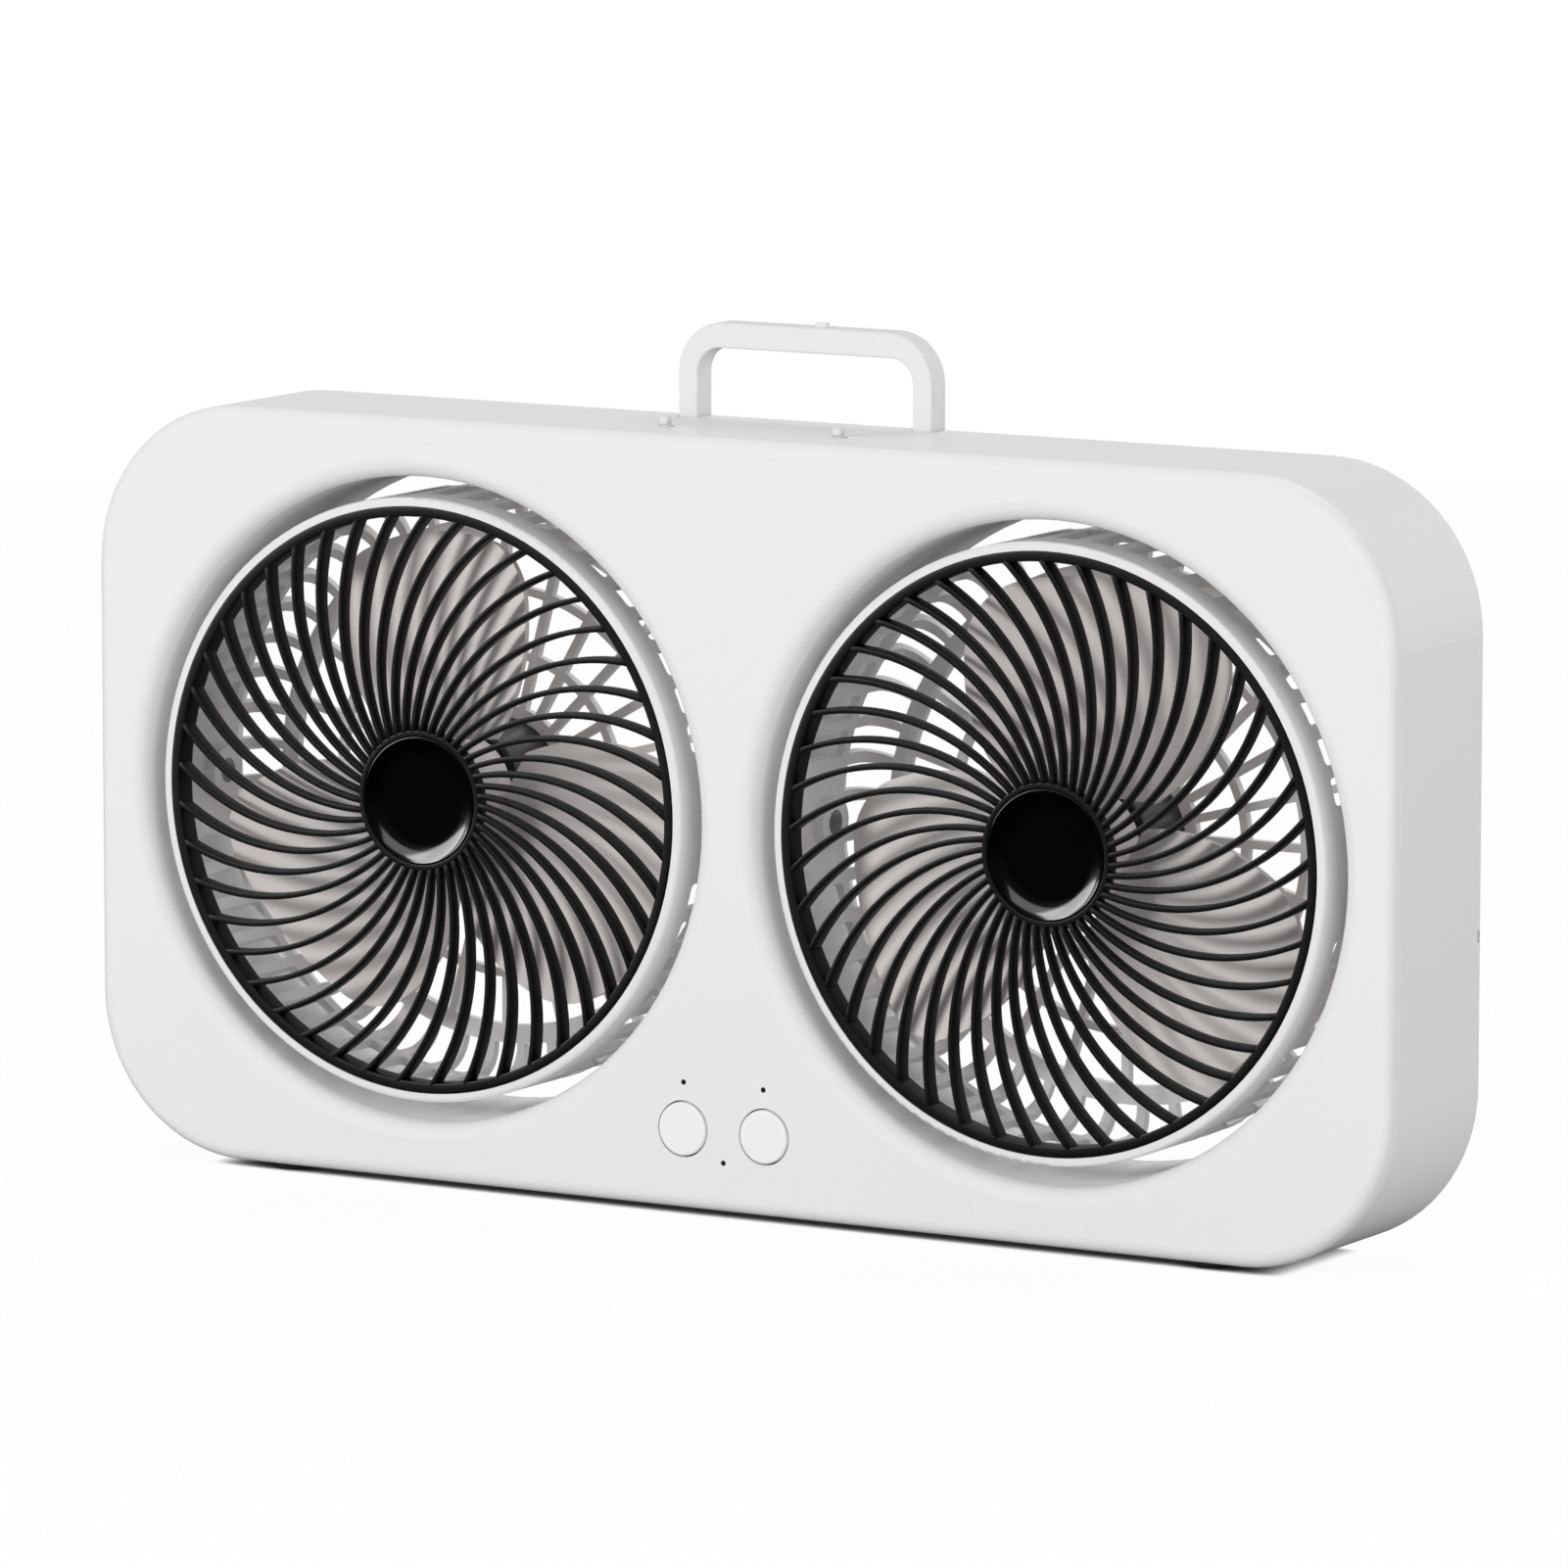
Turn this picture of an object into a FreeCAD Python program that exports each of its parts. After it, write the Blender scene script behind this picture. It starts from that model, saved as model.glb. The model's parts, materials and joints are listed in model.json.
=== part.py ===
import FreeCAD, Part
import math
import operator
import os
from types import SimpleNamespace

import Sketcher

# Dual-head desk fan. Millimetres, origin under the middle of the base, X right, Y back, Z up.

SIZES = {
    # Housing
    "housing_width": 350.0,
    "housing_height": 182.0,
    "housing_depth": 44.0,
    "corner_radius": 39.0,
    "front_round": 3.5,
    "rear_round": 1.2,
    "wall": 2.2,
    "cover_thick": 2.5,
    "cover_gap": 0.15,
    "foot_height": 1.5,
    "foot_radius": 5.0,
    "foot_peg": 2.0,
    "foot_inset_x": 50.0,
    "foot_inset_y": 9.0,
    "pry_height": 3.0,
    "pry_depth": 1.2,
    "pry_edge": 0.9,
    "pry_drop": 17.0,
    # Tunnels that hold the heads
    "head_side": 13.3,
    "head_edge": 14.0,
    "handle_tuck": 26.6,
    "tunnel_wall": 2.0,
    "lip_round": 4.4,
    "lip_margin": 3.3,
    "cover_lip": 1.0,
    # Cover screws and their bosses
    "boss_radius": 4.0,
    "corner_boss_side": 25.0,
    "corner_boss_edge": 25.0,
    "middle_boss_z": 42.0,
    "screw_radius": 1.5,
    "screw_head": 3.0,
    "screw_head_height": 1.3,
    "screw_reach": 10.0,
    # Fits
    "press_gap": 0.02,
    "running_gap": 0.05,
    "slip_gap": 0.25,
    # Head pivots
    "pin_radius": 3.0,
    "pin_seat": 5.0,
    "pivot_boss": 6.0,
    "pivot_gap": 0.8,
    "bush_radius": 5.0,
    "bush_boss": 7.0,
    "bush_length": 5.0,
    "bush_flange": 1.0,
    "bush_flange_radius": 6.4,
    # Guard basket of a head
    "swing_gap": 1.95,
    "drum_wall": 2.1,
    "head_inset": 1.5,
    "rim_round": 0.9,
    "ledge_width": 1.5,
    "ledge_depth": 1.5,
    "basket_round": 8.0,
    "lattice_thick": 2.2,
    "lattice_margin": 3.2,
    "ring_middle_share": 0.66,
    "ring_inner_share": 0.295,
    "lattice_bar": 2.0,
    "spoke_count": 24,
    "motor_plate": 18.5,
    "slot_pairs": 21,
    "slot_pitch": 7.5,
    "slot_width": 6.4,
    "slot_between": 2.8,
    "slot_round": 1.2,
    "band_depth": 8.2,
    "rear_slot_count": 48,
    "rear_slot_share": 0.1,
    "rear_slot_depth": 12.2,
    "flange_width": 2.5,
    # Front grille and its hub
    "grille_gap": 0.1,
    "grille_ring": 2.4,
    "grille_depth": 5.5,
    "hub_radius": 16.8,
    "hub_depth": 3.6,
    "cap_radius": 15.2,
    "cap_depth": 2.9,
    "cap_lip": 0.3,
    "cap_bend": 6.2,
    "cap_sink": 1.8,
    "bar_count": 45,
    "bar_width": 1.35,
    "bar_depth_rim": 4.2,
    "bar_depth_hub": 2.2,
    "bar_bend": 56.7,
    "bar_lean": 12.0,
    "bar_root": 0.6,
    # Rotor
    "blade_tip_gap": 7.5,
    "rotor_hub": 14.0,
    "rotor_hub_wall": 2.0,
    "rotor_hub_depth": 13.0,
    "rotor_gap": 1.0,
    "rotor_plate": 3.0,
    "rotor_collar": 5.0,
    "blade_count": 3,
    "blade_thick": 1.8,
    "blade_root_half": 32.0,
    "blade_root_ahead": 8.0,
    "blade_root_slope": 0.25,
    "blade_root_camber": 1.0,
    "blade_tip_half": 40.0,
    "blade_tip_ahead": 7.0,
    "blade_tip_slope": 0.215,
    "blade_tip_camber": 4.0,
    "blade_over": 3.0,
    "blade_foot": 14.0,
    "blade_side_bend": 44.0,
    "blade_low_angle": 34.0,
    "blade_high_angle": 36.0,
    "blade_corner": 9.0,
    "blade_corner_bend": 16.0,
    "blade_corner_angle": 15.0,
    "blade_turn": 96.0,
    "shaft_radius": 2.0,
    "nut_radius": 5.0,
    "nut_depth": 2.2,
    "nut_gap": 0.7,
    # Motor
    "motor_radius": 15.5,
    "motor_shell": 1.0,
    "motor_front": 1.2,
    "motor_cap": 2.3,
    "bearing_radius": 4.5,
    "bearing_length": 3.2,
    "bearing_wall": 2.0,
    "magnet_thick": 3.2,
    "magnet_inset": 3.0,
    "magnet_arc": 130.0,
    "armature_radius": 10.3,
    "armature_inset": 3.5,
    "motor_screw_ring": 9.5,
    "motor_screw_radius": 1.25,
    "motor_screw_head": 2.2,
    "motor_screw_height": 1.2,
    # Handle
    "handle_width": 68.6,
    "handle_rise": 22.7,
    "handle_depth": 7.0,
    "leg_width": 5.2,
    "bar_thick": 6.0,
    "handle_bend": 12.0,
    "handle_soft": 0.7,
    "pip_width": 3.0,
    "pip_height": 1.0,
    "pip_depth": 1.8,
    "pip_x": 2.9,
    "handle_pin": 1.25,
    "handle_pin_length": 8.4,
    "ear_radius": 3.3,
    "ear_reach": 2.0,
    "tray_gap": 0.4,
    "tray_wall": 1.6,
    # Buttons and lights
    "button_radius": 6.5,
    "button_x": 11.0,
    "button_rise": 19.2,
    "button_flange": 1.1,
    "button_flange_thick": 1.0,
    "button_flange_gap": 0.3,
    "button_plunger": 2.0,
    "button_travel": 1.2,
    "button_edge": 0.4,
    "light_radius": 0.6,
    "light_x": 10.8,
    "light_above": 11.1,
    "light_below": 7.2,
    # Control board
    "board_set_back": 11.0,
    "board_thick": 1.6,
    "board_width": 60.0,
    "board_height": 26.0,
    "board_low": 1.2,
    "board_post": 2.2,
    "board_post_inset": 4.0,
    "board_screw": 1.0,
    "board_screw_head": 2.0,
    "board_screw_height": 1.2,
    "board_screw_reach": 6.0,
    "switch_side": 6.0,
    "switch_height": 3.0,
    "switch_actuator": 1.7,
    "switch_stem": 0.45,
    "press_margin": 0.3,
    # Battery and charging
    "cell_radius": 9.2,
    "cell_length": 65.0,
    "cradle_clear": 1.3,
    "cradle_wall": 1.5,
    "cradle_gap": 0.1,
    "cradle_height": 9.0,
    "socket_x": 45.0,
    "socket_width": 9.0,
    "socket_height": 3.2,
    "socket_length": 7.4,
    "socket_round": 1.5,
    "socket_shell": 0.35,
    "socket_rise": 11.0,
    "socket_tongue": 0.7,
    "charge_board_width": 18.0,
    "charge_board_depth": 12.0,
    "charge_board_thick": 1.2,
    "charge_post": 2.0,
    # Slide switches on the top
    "slide_x": 23.4,
    "slide_set_back": 18.0,
    "slide_slot": 9.5,
    "slide_stem_width": 2.0,
    "slide_stem_thick": 1.5,
    "slide_stem_dip": 1.4,
    "slide_rest": 3.0,
    "slide_knob_width": 2.4,
    "slide_knob_depth": 2.6,
    "slide_knob_height": 2.3,
    "slide_body_width": 14.0,
    "slide_body_depth": 7.0,
    "slide_body_height": 5.0,
}

SHEET = "Sizes"
OPERATIONS = {"+": operator.add, "-": operator.sub, "*": operator.mul, "/": operator.truediv}
NORMAL = {"XY_Plane": "+Z", "XZ_Plane": "-Y", "YZ_Plane": "+X"}


class Size:
    """A number together with the sheet expression that gives it."""

    def __init__(self, value, text):
        self.value = value
        self.text = text

    def __add__(self, other):
        return combine(self, "+", other)

    def __radd__(self, other):
        return combine(other, "+", self)

    def __sub__(self, other):
        return combine(self, "-", other)

    def __rsub__(self, other):
        return combine(other, "-", self)

    def __mul__(self, other):
        return combine(self, "*", other)

    def __rmul__(self, other):
        return combine(other, "*", self)

    def __truediv__(self, other):
        return combine(self, "/", other)

    def __neg__(self):
        return combine(0, "-", self)


def as_size(item):
    """Wrap a plain number so that it can stand in an expression."""
    if isinstance(item, Size):
        return item
    return Size(float(item), f"({item})")


def combine(left, sign, right):
    """Work out a sum and keep its expression."""
    first = as_size(left)
    second = as_size(right)
    value = OPERATIONS[sign](first.value, second.value)
    return Size(value, f"({first.text} {sign} {second.text})")


def sine(angle):
    """Sine of an angle in degrees."""
    return Size(math.sin(math.radians(angle.value)), f"sin({angle.text} * 1 deg)")


def cosine(angle):
    """Cosine of an angle in degrees."""
    return Size(math.cos(math.radians(angle.value)), f"cos({angle.text} * 1 deg)")


def square_root(size):
    """Square root of a size."""
    return Size(math.sqrt(size.value), f"sqrt({size.text})")


def smaller(first, second):
    """The smaller of two sizes."""
    return Size(min(first.value, second.value), f"min({first.text}; {second.text})")


def larger(first, second):
    """The larger of two sizes."""
    return Size(max(first.value, second.value), f"max({first.text}; {second.text})")


doc = FreeCAD.newDocument("DualHeadFan")
sheet = doc.addObject("Spreadsheet::Sheet", SHEET)
for row, (name, number) in enumerate(SIZES.items(), start=1):
    sheet.set(f"A{row}", name)
    sheet.set(f"B{row}", str(number))
    sheet.setAlias(f"B{row}", name)
doc.recompute()
s = SimpleNamespace(**{name: Size(float(sheet.get(name)), f"{SHEET}.{name}") for name in SIZES})


def derive(name, size):
    """Put a size that follows from others in the sheet, under its own name."""
    row = len(vars(s)) + 1
    sheet.set(f"A{row}", name)
    sheet.set(f"B{row}", "=" + size.text.replace(f"{SHEET}.", ""))
    sheet.setAlias(f"B{row}", name)
    doc.recompute()
    setattr(s, name, Size(float(sheet.get(name)), f"{SHEET}.{name}"))


# Heads: clear of each other, of the handle's tray and of the housing's edges
derive("head_between", larger(s.handle_width / 2 - s.handle_tuck, s.lip_round + s.lip_margin))
derive("head_offset", (s.housing_width / 2 - s.head_side + s.head_between) / 2)
derive("tunnel_radius", smaller(s.head_offset - s.head_between, s.housing_height / 2 - s.head_edge))
derive("head_half_depth", s.housing_depth / 2 - s.head_inset)
derive("swing_radius", s.tunnel_radius - s.swing_gap)
# The drum's corners stay inside the tunnel at any tilt
derive("drum_radius", square_root(s.swing_radius * s.swing_radius - s.head_half_depth * s.head_half_depth))
derive("slot_length", 2 * s.head_half_depth - s.band_depth - s.slot_between - s.rear_slot_depth)
derive("lattice_rim", s.drum_radius - s.basket_round - s.lattice_margin)
derive("rear_slot_root", s.lattice_rim + s.flange_width)
derive("lattice_span", s.lattice_rim - s.motor_plate)
derive("ring_middle", s.motor_plate + s.ring_middle_share * s.lattice_span)
derive("ring_inner", s.motor_plate + s.ring_inner_share * s.lattice_span)
# From the grille to the lattice: nut, rotor hub and motor in line
derive("rotor_radius", s.drum_radius - s.drum_wall - s.blade_tip_gap)
derive("rotor_hub_front", s.head_half_depth - s.hub_depth - s.nut_gap - s.nut_depth)
derive("motor_ahead", s.rotor_hub_front - s.rotor_hub_depth - s.rotor_gap)
derive("motor_length", s.head_half_depth - s.lattice_thick - s.motor_cap + s.motor_ahead)
derive("magnet_length", s.motor_length - 2 * s.magnet_inset)
derive("armature_length", s.motor_length - 2 * s.armature_inset)
# Pieces that keep their distance from the housing's sides
derive("corner_boss_x", s.housing_width / 2 - s.corner_boss_side)
derive("corner_boss_z", s.housing_height / 2 - s.corner_boss_edge)
derive("foot_x", s.housing_width / 2 - s.foot_inset_x)
derive("foot_y", s.housing_depth / 2 - s.foot_inset_y)
derive("button_drop", s.housing_height / 2 - s.button_rise)
derive("light_drop", s.button_drop - s.light_above)
derive("low_light_drop", s.button_drop + s.light_below)
derive("board_drop", s.button_drop + s.board_low)
derive("socket_drop", s.housing_height / 2 - s.socket_rise)
derive("cell_y", s.housing_depth / 2 - s.cover_thick - s.cradle_clear - s.cradle_wall - s.cell_radius)

# Planes and places that several pieces share
FRONT = -s.housing_depth / 2
BACK = s.housing_depth / 2
TOP = s.housing_height / 2
COVER_FACE = BACK - s.cover_thick
FRONT_WALL = FRONT + s.wall
MIDDLE = s.foot_height + s.housing_height / 2
RIM = -s.head_half_depth
LATTICE = s.head_half_depth - s.lattice_thick
BASKET_BORE = s.drum_radius - s.drum_wall
GRILLE_RADIUS = BASKET_BORE - s.grille_gap
GRILLE_BORE = GRILLE_RADIUS - s.grille_ring
PIVOT_OUT = s.tunnel_radius + s.bush_length
MOTOR_FRONT = -s.motor_ahead
PIVOT_HEIGHT = TOP - s.handle_depth / 2
PIVOT_DEPTH = BACK - s.handle_depth / 2
SLIDE_Y = FRONT + s.slide_set_back
BOARD_FACE = FRONT + s.board_set_back
ZERO = as_size(0)


def set_size(item, path, size):
    """Bind one property of an object to a sheet expression."""
    item.setExpression(path, as_size(size).text)


def place(item, x=ZERO, y=ZERO, z=ZERO, turn=None):
    """Bind an object's place, turned first where a rotation is given."""
    if turn:
        item.Placement = FreeCAD.Placement(FreeCAD.Vector(), turn)
    set_size(item, "Placement.Base.x", x)
    set_size(item, "Placement.Base.y", y)
    set_size(item, "Placement.Base.z", z)
    return item


def new_body(label):
    """Start a body that may hold several separate solids."""
    body = doc.addObject("PartDesign::Body", label)
    body.Label = label
    body.AllowCompound = True
    return body


def origin_part(body, role):
    """Find a plane or axis of a body's own origin."""
    return [item for item in body.Origin.OriginFeatures if item.Role == role][0]


def add_sketch(body, plane, at=ZERO):
    """Attach an empty sketch to an origin plane, moved along that plane's normal."""
    sketch = body.newObject("Sketcher::SketchObject", "Sketch")
    sketch.AttachmentSupport = [(origin_part(body, plane), "")]
    sketch.MapMode = "FlatFace"
    set_size(sketch, "AttachmentOffset.Base.z", at)
    return sketch


def pin_point(sketch, geometry, end, x, y):
    """Fix a point of a sketch to bound coordinates."""
    for kind, axis, coordinate in (("DistanceX", -2, x), ("DistanceY", -1, y)):
        size = as_size(coordinate)
        if size.value == 0:
            sketch.addConstraint(Sketcher.Constraint("PointOnObject", geometry, end, axis))
        else:
            index = sketch.addConstraint(Sketcher.Constraint(kind, geometry, end, size.value))
            set_size(sketch, f"Constraints[{index}]", size)


def bind_radius(sketch, geometry, radius):
    """Bind the radius of a circle or an arc."""
    index = sketch.addConstraint(Sketcher.Constraint("Radius", geometry, radius.value))
    set_size(sketch, f"Constraints[{index}]", radius)


def add_circle(sketch, radius, x=ZERO, y=ZERO):
    """Draw a circle with a bound centre and radius."""
    centre = FreeCAD.Vector(as_size(x).value, as_size(y).value, 0)
    circle = Part.Circle(centre, FreeCAD.Vector(0, 0, 1), radius.value)
    geometry = sketch.addGeometry(circle)
    bind_radius(sketch, geometry, radius)
    pin_point(sketch, geometry, 3, x, y)


def arc_between(start, end, bend):
    """Arc of a given radius between two points: a positive bend turns left, a negative one right."""
    chord = end - start
    half = chord.Length / 2
    rise = abs(bend) - math.sqrt(max(bend * bend - half * half, 0))
    side = FreeCAD.Vector(chord.y, -chord.x, 0).normalize()
    if bend < 0:
        side = -side
    return Part.Arc(start, (start + end) * 0.5 + side * rise, end)


def add_outline(sketch, corners):
    """Draw a closed outline of bound corners (x, y) or (x, y, bend), where a bend curves the next run."""
    points = [FreeCAD.Vector(as_size(c[0]).value, as_size(c[1]).value, 0) for c in corners]
    first = sketch.GeometryCount
    starts = []
    ends = []
    for index, corner in enumerate(corners):
        start = points[index]
        end = points[(index + 1) % len(points)]
        bend = corner[2].value if len(corner) == 3 else 0
        run = arc_between(start, end, bend) if bend else Part.LineSegment(start, end)
        sketch.addGeometry(run)
        starts.append(2 if bend < 0 else 1)
        ends.append(1 if bend < 0 else 2)
    for index, corner in enumerate(corners):
        after = (index + 1) % len(corners)
        meeting = (first + index, ends[index], first + after, starts[after])
        sketch.addConstraint(Sketcher.Constraint("Coincident", *meeting))
        pin_point(sketch, first + index, starts[index], corner[0], corner[1])
        if len(corner) == 3:
            bend = corner[2] if corner[2].value > 0 else -corner[2]
            bind_radius(sketch, first + index, bend)


def add_rectangle(sketch, low_x, high_x, low_y, high_y):
    """Draw a rectangle between bound sides."""
    add_outline(sketch, [(low_x, low_y), (high_x, low_y), (high_x, high_y), (low_x, high_y)])


def add_rounded(sketch, low_x, high_x, low_y, high_y, radius):
    """Draw a rectangle with round corners."""
    add_outline(sketch, [
        (low_x + radius, low_y),
        (high_x - radius, low_y, radius),
        (high_x, low_y + radius),
        (high_x, high_y - radius, radius),
        (high_x - radius, high_y),
        (low_x + radius, high_y, radius),
        (low_x, high_y - radius),
        (low_x, low_y + radius, radius),
    ])


def finish_feature(body, feature):
    """Make a feature the body's tip and work it out."""
    body.Tip = feature
    doc.recompute()
    return feature


def raise_pad(body, sketch, plane, toward, length):
    """Add material from a sketch towards one side."""
    pad = body.newObject("PartDesign::Pad", "Pad")
    pad.Profile = sketch
    pad.Reversed = toward != NORMAL[plane]
    set_size(pad, "Length", length)
    return finish_feature(body, pad)


def cut_pocket(body, sketch, plane, toward=None, length=None):
    """Cut a sketch towards one side, or right through both ways, and make sure that it cuts."""
    before = body.Shape.Volume
    pocket = body.newObject("PartDesign::Pocket", "Pocket")
    pocket.Profile = sketch
    if toward:
        pocket.Reversed = toward == NORMAL[plane]
        set_size(pocket, "Length", length)
    else:
        pocket.Type = "ThroughAll"
        pocket.Midplane = True
    finish_feature(body, pocket)
    if not body.Shape.Volume < before:
        raise RuntimeError(f"a pocket of {body.Label} cuts nothing")
    return pocket


def repeat_round(body, features, count, angle=as_size(360)):
    """Repeat features round the body's Y axis."""
    pattern = body.newObject("PartDesign::PolarPattern", "PolarPattern")
    pattern.Originals = features
    pattern.Axis = (origin_part(body, "Y_Axis"), [""])
    set_size(pattern, "Angle", angle)
    set_size(pattern, "Occurrences", count)
    return finish_feature(body, pattern)


def mirror_across(body, features, plane):
    """Repeat features on the other side of an origin plane."""
    mirrored = body.newObject("PartDesign::Mirrored", "Mirrored")
    mirrored.Originals = features
    mirrored.MirrorPlane = (origin_part(body, plane), [""])
    return finish_feature(body, mirrored)


def round_edges(body, radius, chosen):
    """Fillet the edges of a body that pass a test."""
    base = body.Tip
    names = [f"Edge{i}" for i, edge in enumerate(base.Shape.Edges, start=1) if chosen(edge)]
    fillet = body.newObject("PartDesign::Fillet", "Fillet")
    fillet.Base = (base, names)
    set_size(fillet, "Radius", radius)
    return finish_feature(body, fillet)


def near(number, size):
    """Tell whether a measured number is the given size."""
    return abs(number - as_size(size).value) < 0.01


def lies_at_y(edge, y):
    """Tell whether an edge lies in one plane across the depth."""
    return near(edge.BoundBox.YMin, y) and near(edge.BoundBox.YMax, y)


def round_circles(body, size, y, radius):
    """Round the circular edges of one radius that lie in one plane across the depth."""
    def chosen(edge):
        return lies_at_y(edge, y) and hasattr(edge.Curve, "Radius") and near(edge.Curve.Radius, radius)

    round_edges(body, size, chosen)


def turned(label, *outlines):
    """Body of revolution about Y from outlines of (radius, y)."""
    body = new_body(label)
    sketch = add_sketch(body, "XY_Plane")
    for outline in outlines:
        add_outline(sketch, outline)
    revolution = body.newObject("PartDesign::Revolution", "Revolution")
    revolution.Profile = sketch
    revolution.ReferenceAxis = (sketch, ["V_Axis"])
    revolution.Angle = 360
    finish_feature(body, revolution)
    return body


def ring_outline(inner, outer, low, high):
    """Outline of a plain ring section."""
    return [(inner, low), (outer, low), (outer, high), (inner, high)]


TURNS = {
    "x": FreeCAD.Rotation(FreeCAD.Vector(0, 1, 0), 90),
    "y": FreeCAD.Rotation(FreeCAD.Vector(1, 0, 0), -90),
    "z": FreeCAD.Rotation(),
}


def rod(label, axis, radius, length, x, y, z):
    """Cylinder that starts at a point and runs along an axis."""
    item = doc.addObject("Part::Cylinder", label)
    set_size(item, "Radius", radius)
    set_size(item, "Height", length)
    return place(item, x, y, z, TURNS[axis])


def block(label, width, depth, height, x, y, z):
    """Box centred on x, which starts at y and z."""
    item = doc.addObject("Part::Box", label)
    set_size(item, "Length", width)
    set_size(item, "Width", depth)
    set_size(item, "Height", height)
    return place(item, x - width / 2, y, z)


def joined(label, items):
    """One solid out of several that meet."""
    item = doc.addObject("Part::MultiFuse", label)
    item.Shapes = items
    return item


def cut_from(label, base, tool):
    """One shape with another taken out."""
    item = doc.addObject("Part::Cut", label)
    item.Base = base
    item.Tool = tool
    return item


def grouped(label, items):
    """Separate solids that share one node."""
    item = doc.addObject("Part::Compound", label)
    item.Links = items
    return item


def screw(label, radius, head, head_height, reach, x, y, z):
    """Screw along Y: its head's underside lies at y, and its shank runs forward."""
    top = rod(f"{label}_top", "y", head, head_height, x, y, z)
    shank = rod(f"{label}_shank", "y", radius, reach, x, y - reach, z)
    return joined(label, [top, shank])


def boss_places():
    """Where the cover screws stand, seen from the front."""
    corners = [(x * s.corner_boss_x, z * s.corner_boss_z) for x in (-1, 1) for z in (-1, 1)]
    middles = [(ZERO, z * s.middle_boss_z) for z in (-1, 1)]
    return corners + middles


def board_post_places():
    """Where the control board's posts stand, seen from the front."""
    half_x = s.board_width / 2 - s.board_post_inset
    half_z = s.board_height / 2 - s.board_post_inset
    return [(x * half_x, z * half_z - s.board_drop) for x in (-1, 1) for z in (-1, 1)]


def light_places():
    """Where the three light dots are, seen from the front."""
    return [(-s.light_x, -s.light_drop), (s.light_x, -s.light_drop), (ZERO, -s.low_light_drop)]


def front_shell():
    """Front casing: face, side walls and the two tunnels in one moulding."""
    body = new_body("front_shell")
    half_width = s.housing_width / 2
    sketch = add_sketch(body, "XZ_Plane", -BACK)
    add_rounded(sketch, -half_width, half_width, -TOP, TOP, s.corner_radius)
    raise_pad(body, sketch, "XZ_Plane", "-Y", s.housing_depth)
    round_edges(body, s.front_round, lambda edge: lies_at_y(edge, FRONT))
    round_edges(body, s.rear_round, lambda edge: lies_at_y(edge, BACK))
    sketch = add_sketch(body, "XZ_Plane", -BACK)
    inner_x = half_width - s.wall
    inner_z = TOP - s.wall
    add_rounded(sketch, -inner_x, inner_x, -inner_z, inner_z, s.corner_radius - s.wall)
    cut_pocket(body, sketch, "XZ_Plane", "-Y", s.housing_depth - s.wall)

    sketch = add_sketch(body, "XZ_Plane", -COVER_FACE)
    for side in (-1, 1):
        add_circle(sketch, s.tunnel_radius + s.tunnel_wall, side * s.head_offset)
    for x, z in boss_places():
        add_circle(sketch, s.boss_radius, x, z)
    raise_pad(body, sketch, "XZ_Plane", "-Y", s.housing_depth - s.cover_thick - s.wall / 2)
    round_circles(body, s.lip_round - s.wall, FRONT_WALL, s.tunnel_radius + s.tunnel_wall)
    sketch = add_sketch(body, "XZ_Plane", -BOARD_FACE)
    for x, z in board_post_places():
        add_circle(sketch, s.board_post, x, z)
    raise_pad(body, sketch, "XZ_Plane", "-Y", s.board_set_back - s.wall / 2)
    shell_pivot_bosses(body)

    sketch = add_sketch(body, "XZ_Plane")
    for side in (-1, 1):
        add_circle(sketch, s.tunnel_radius, side * s.head_offset)
    cut_pocket(body, sketch, "XZ_Plane")
    shell_pivot_holes(body)
    shell_front_holes(body)
    shell_top_and_base(body)
    round_circles(body, s.lip_round, FRONT, s.tunnel_radius)
    return place(body, z=MIDDLE)


def shell_pivot_bosses(body):
    """Bosses behind the tunnel walls that carry the pivot bushes."""
    depth = s.bush_length - s.tunnel_wall / 2
    bosses = []
    for start, toward in ((-s.head_offset - PIVOT_OUT, "+X"), (-s.head_offset + PIVOT_OUT, "-X")):
        sketch = add_sketch(body, "YZ_Plane", start)
        add_circle(sketch, s.bush_boss)
        bosses.append(raise_pad(body, sketch, "YZ_Plane", toward, depth))
    mirror_across(body, bosses, "YZ_Plane")


def shell_pivot_holes(body):
    """Bores for the pivot bushes, through the bosses and the tunnel walls."""
    depth = s.bush_length + s.tunnel_wall
    holes = []
    for start, toward in ((-s.head_offset - PIVOT_OUT, "+X"), (-s.head_offset + PIVOT_OUT, "-X")):
        sketch = add_sketch(body, "YZ_Plane", start)
        add_circle(sketch, s.bush_radius + s.press_gap)
        holes.append(cut_pocket(body, sketch, "YZ_Plane", toward, depth))
    mirror_across(body, holes, "YZ_Plane")


def shell_front_holes(body):
    """Button and light holes in the face, and screw holes in the bosses and posts."""
    sketch = add_sketch(body, "XZ_Plane", -FRONT)
    for side in (-1, 1):
        add_circle(sketch, s.button_radius + s.slip_gap, side * s.button_x, -s.button_drop)
    for x, z in light_places():
        add_circle(sketch, s.light_radius + s.running_gap, x, z)
    cut_pocket(body, sketch, "XZ_Plane", "+Y", s.wall)
    sketch = add_sketch(body, "XZ_Plane", -COVER_FACE)
    for x, z in boss_places():
        add_circle(sketch, s.screw_radius + s.press_gap, x, z)
    cut_pocket(body, sketch, "XZ_Plane", "-Y", s.screw_reach)
    sketch = add_sketch(body, "XZ_Plane", -BOARD_FACE)
    for x, z in board_post_places():
        add_circle(sketch, s.board_screw + s.press_gap, x, z)
    cut_pocket(body, sketch, "XZ_Plane", "-Y", s.board_screw_reach)


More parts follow.
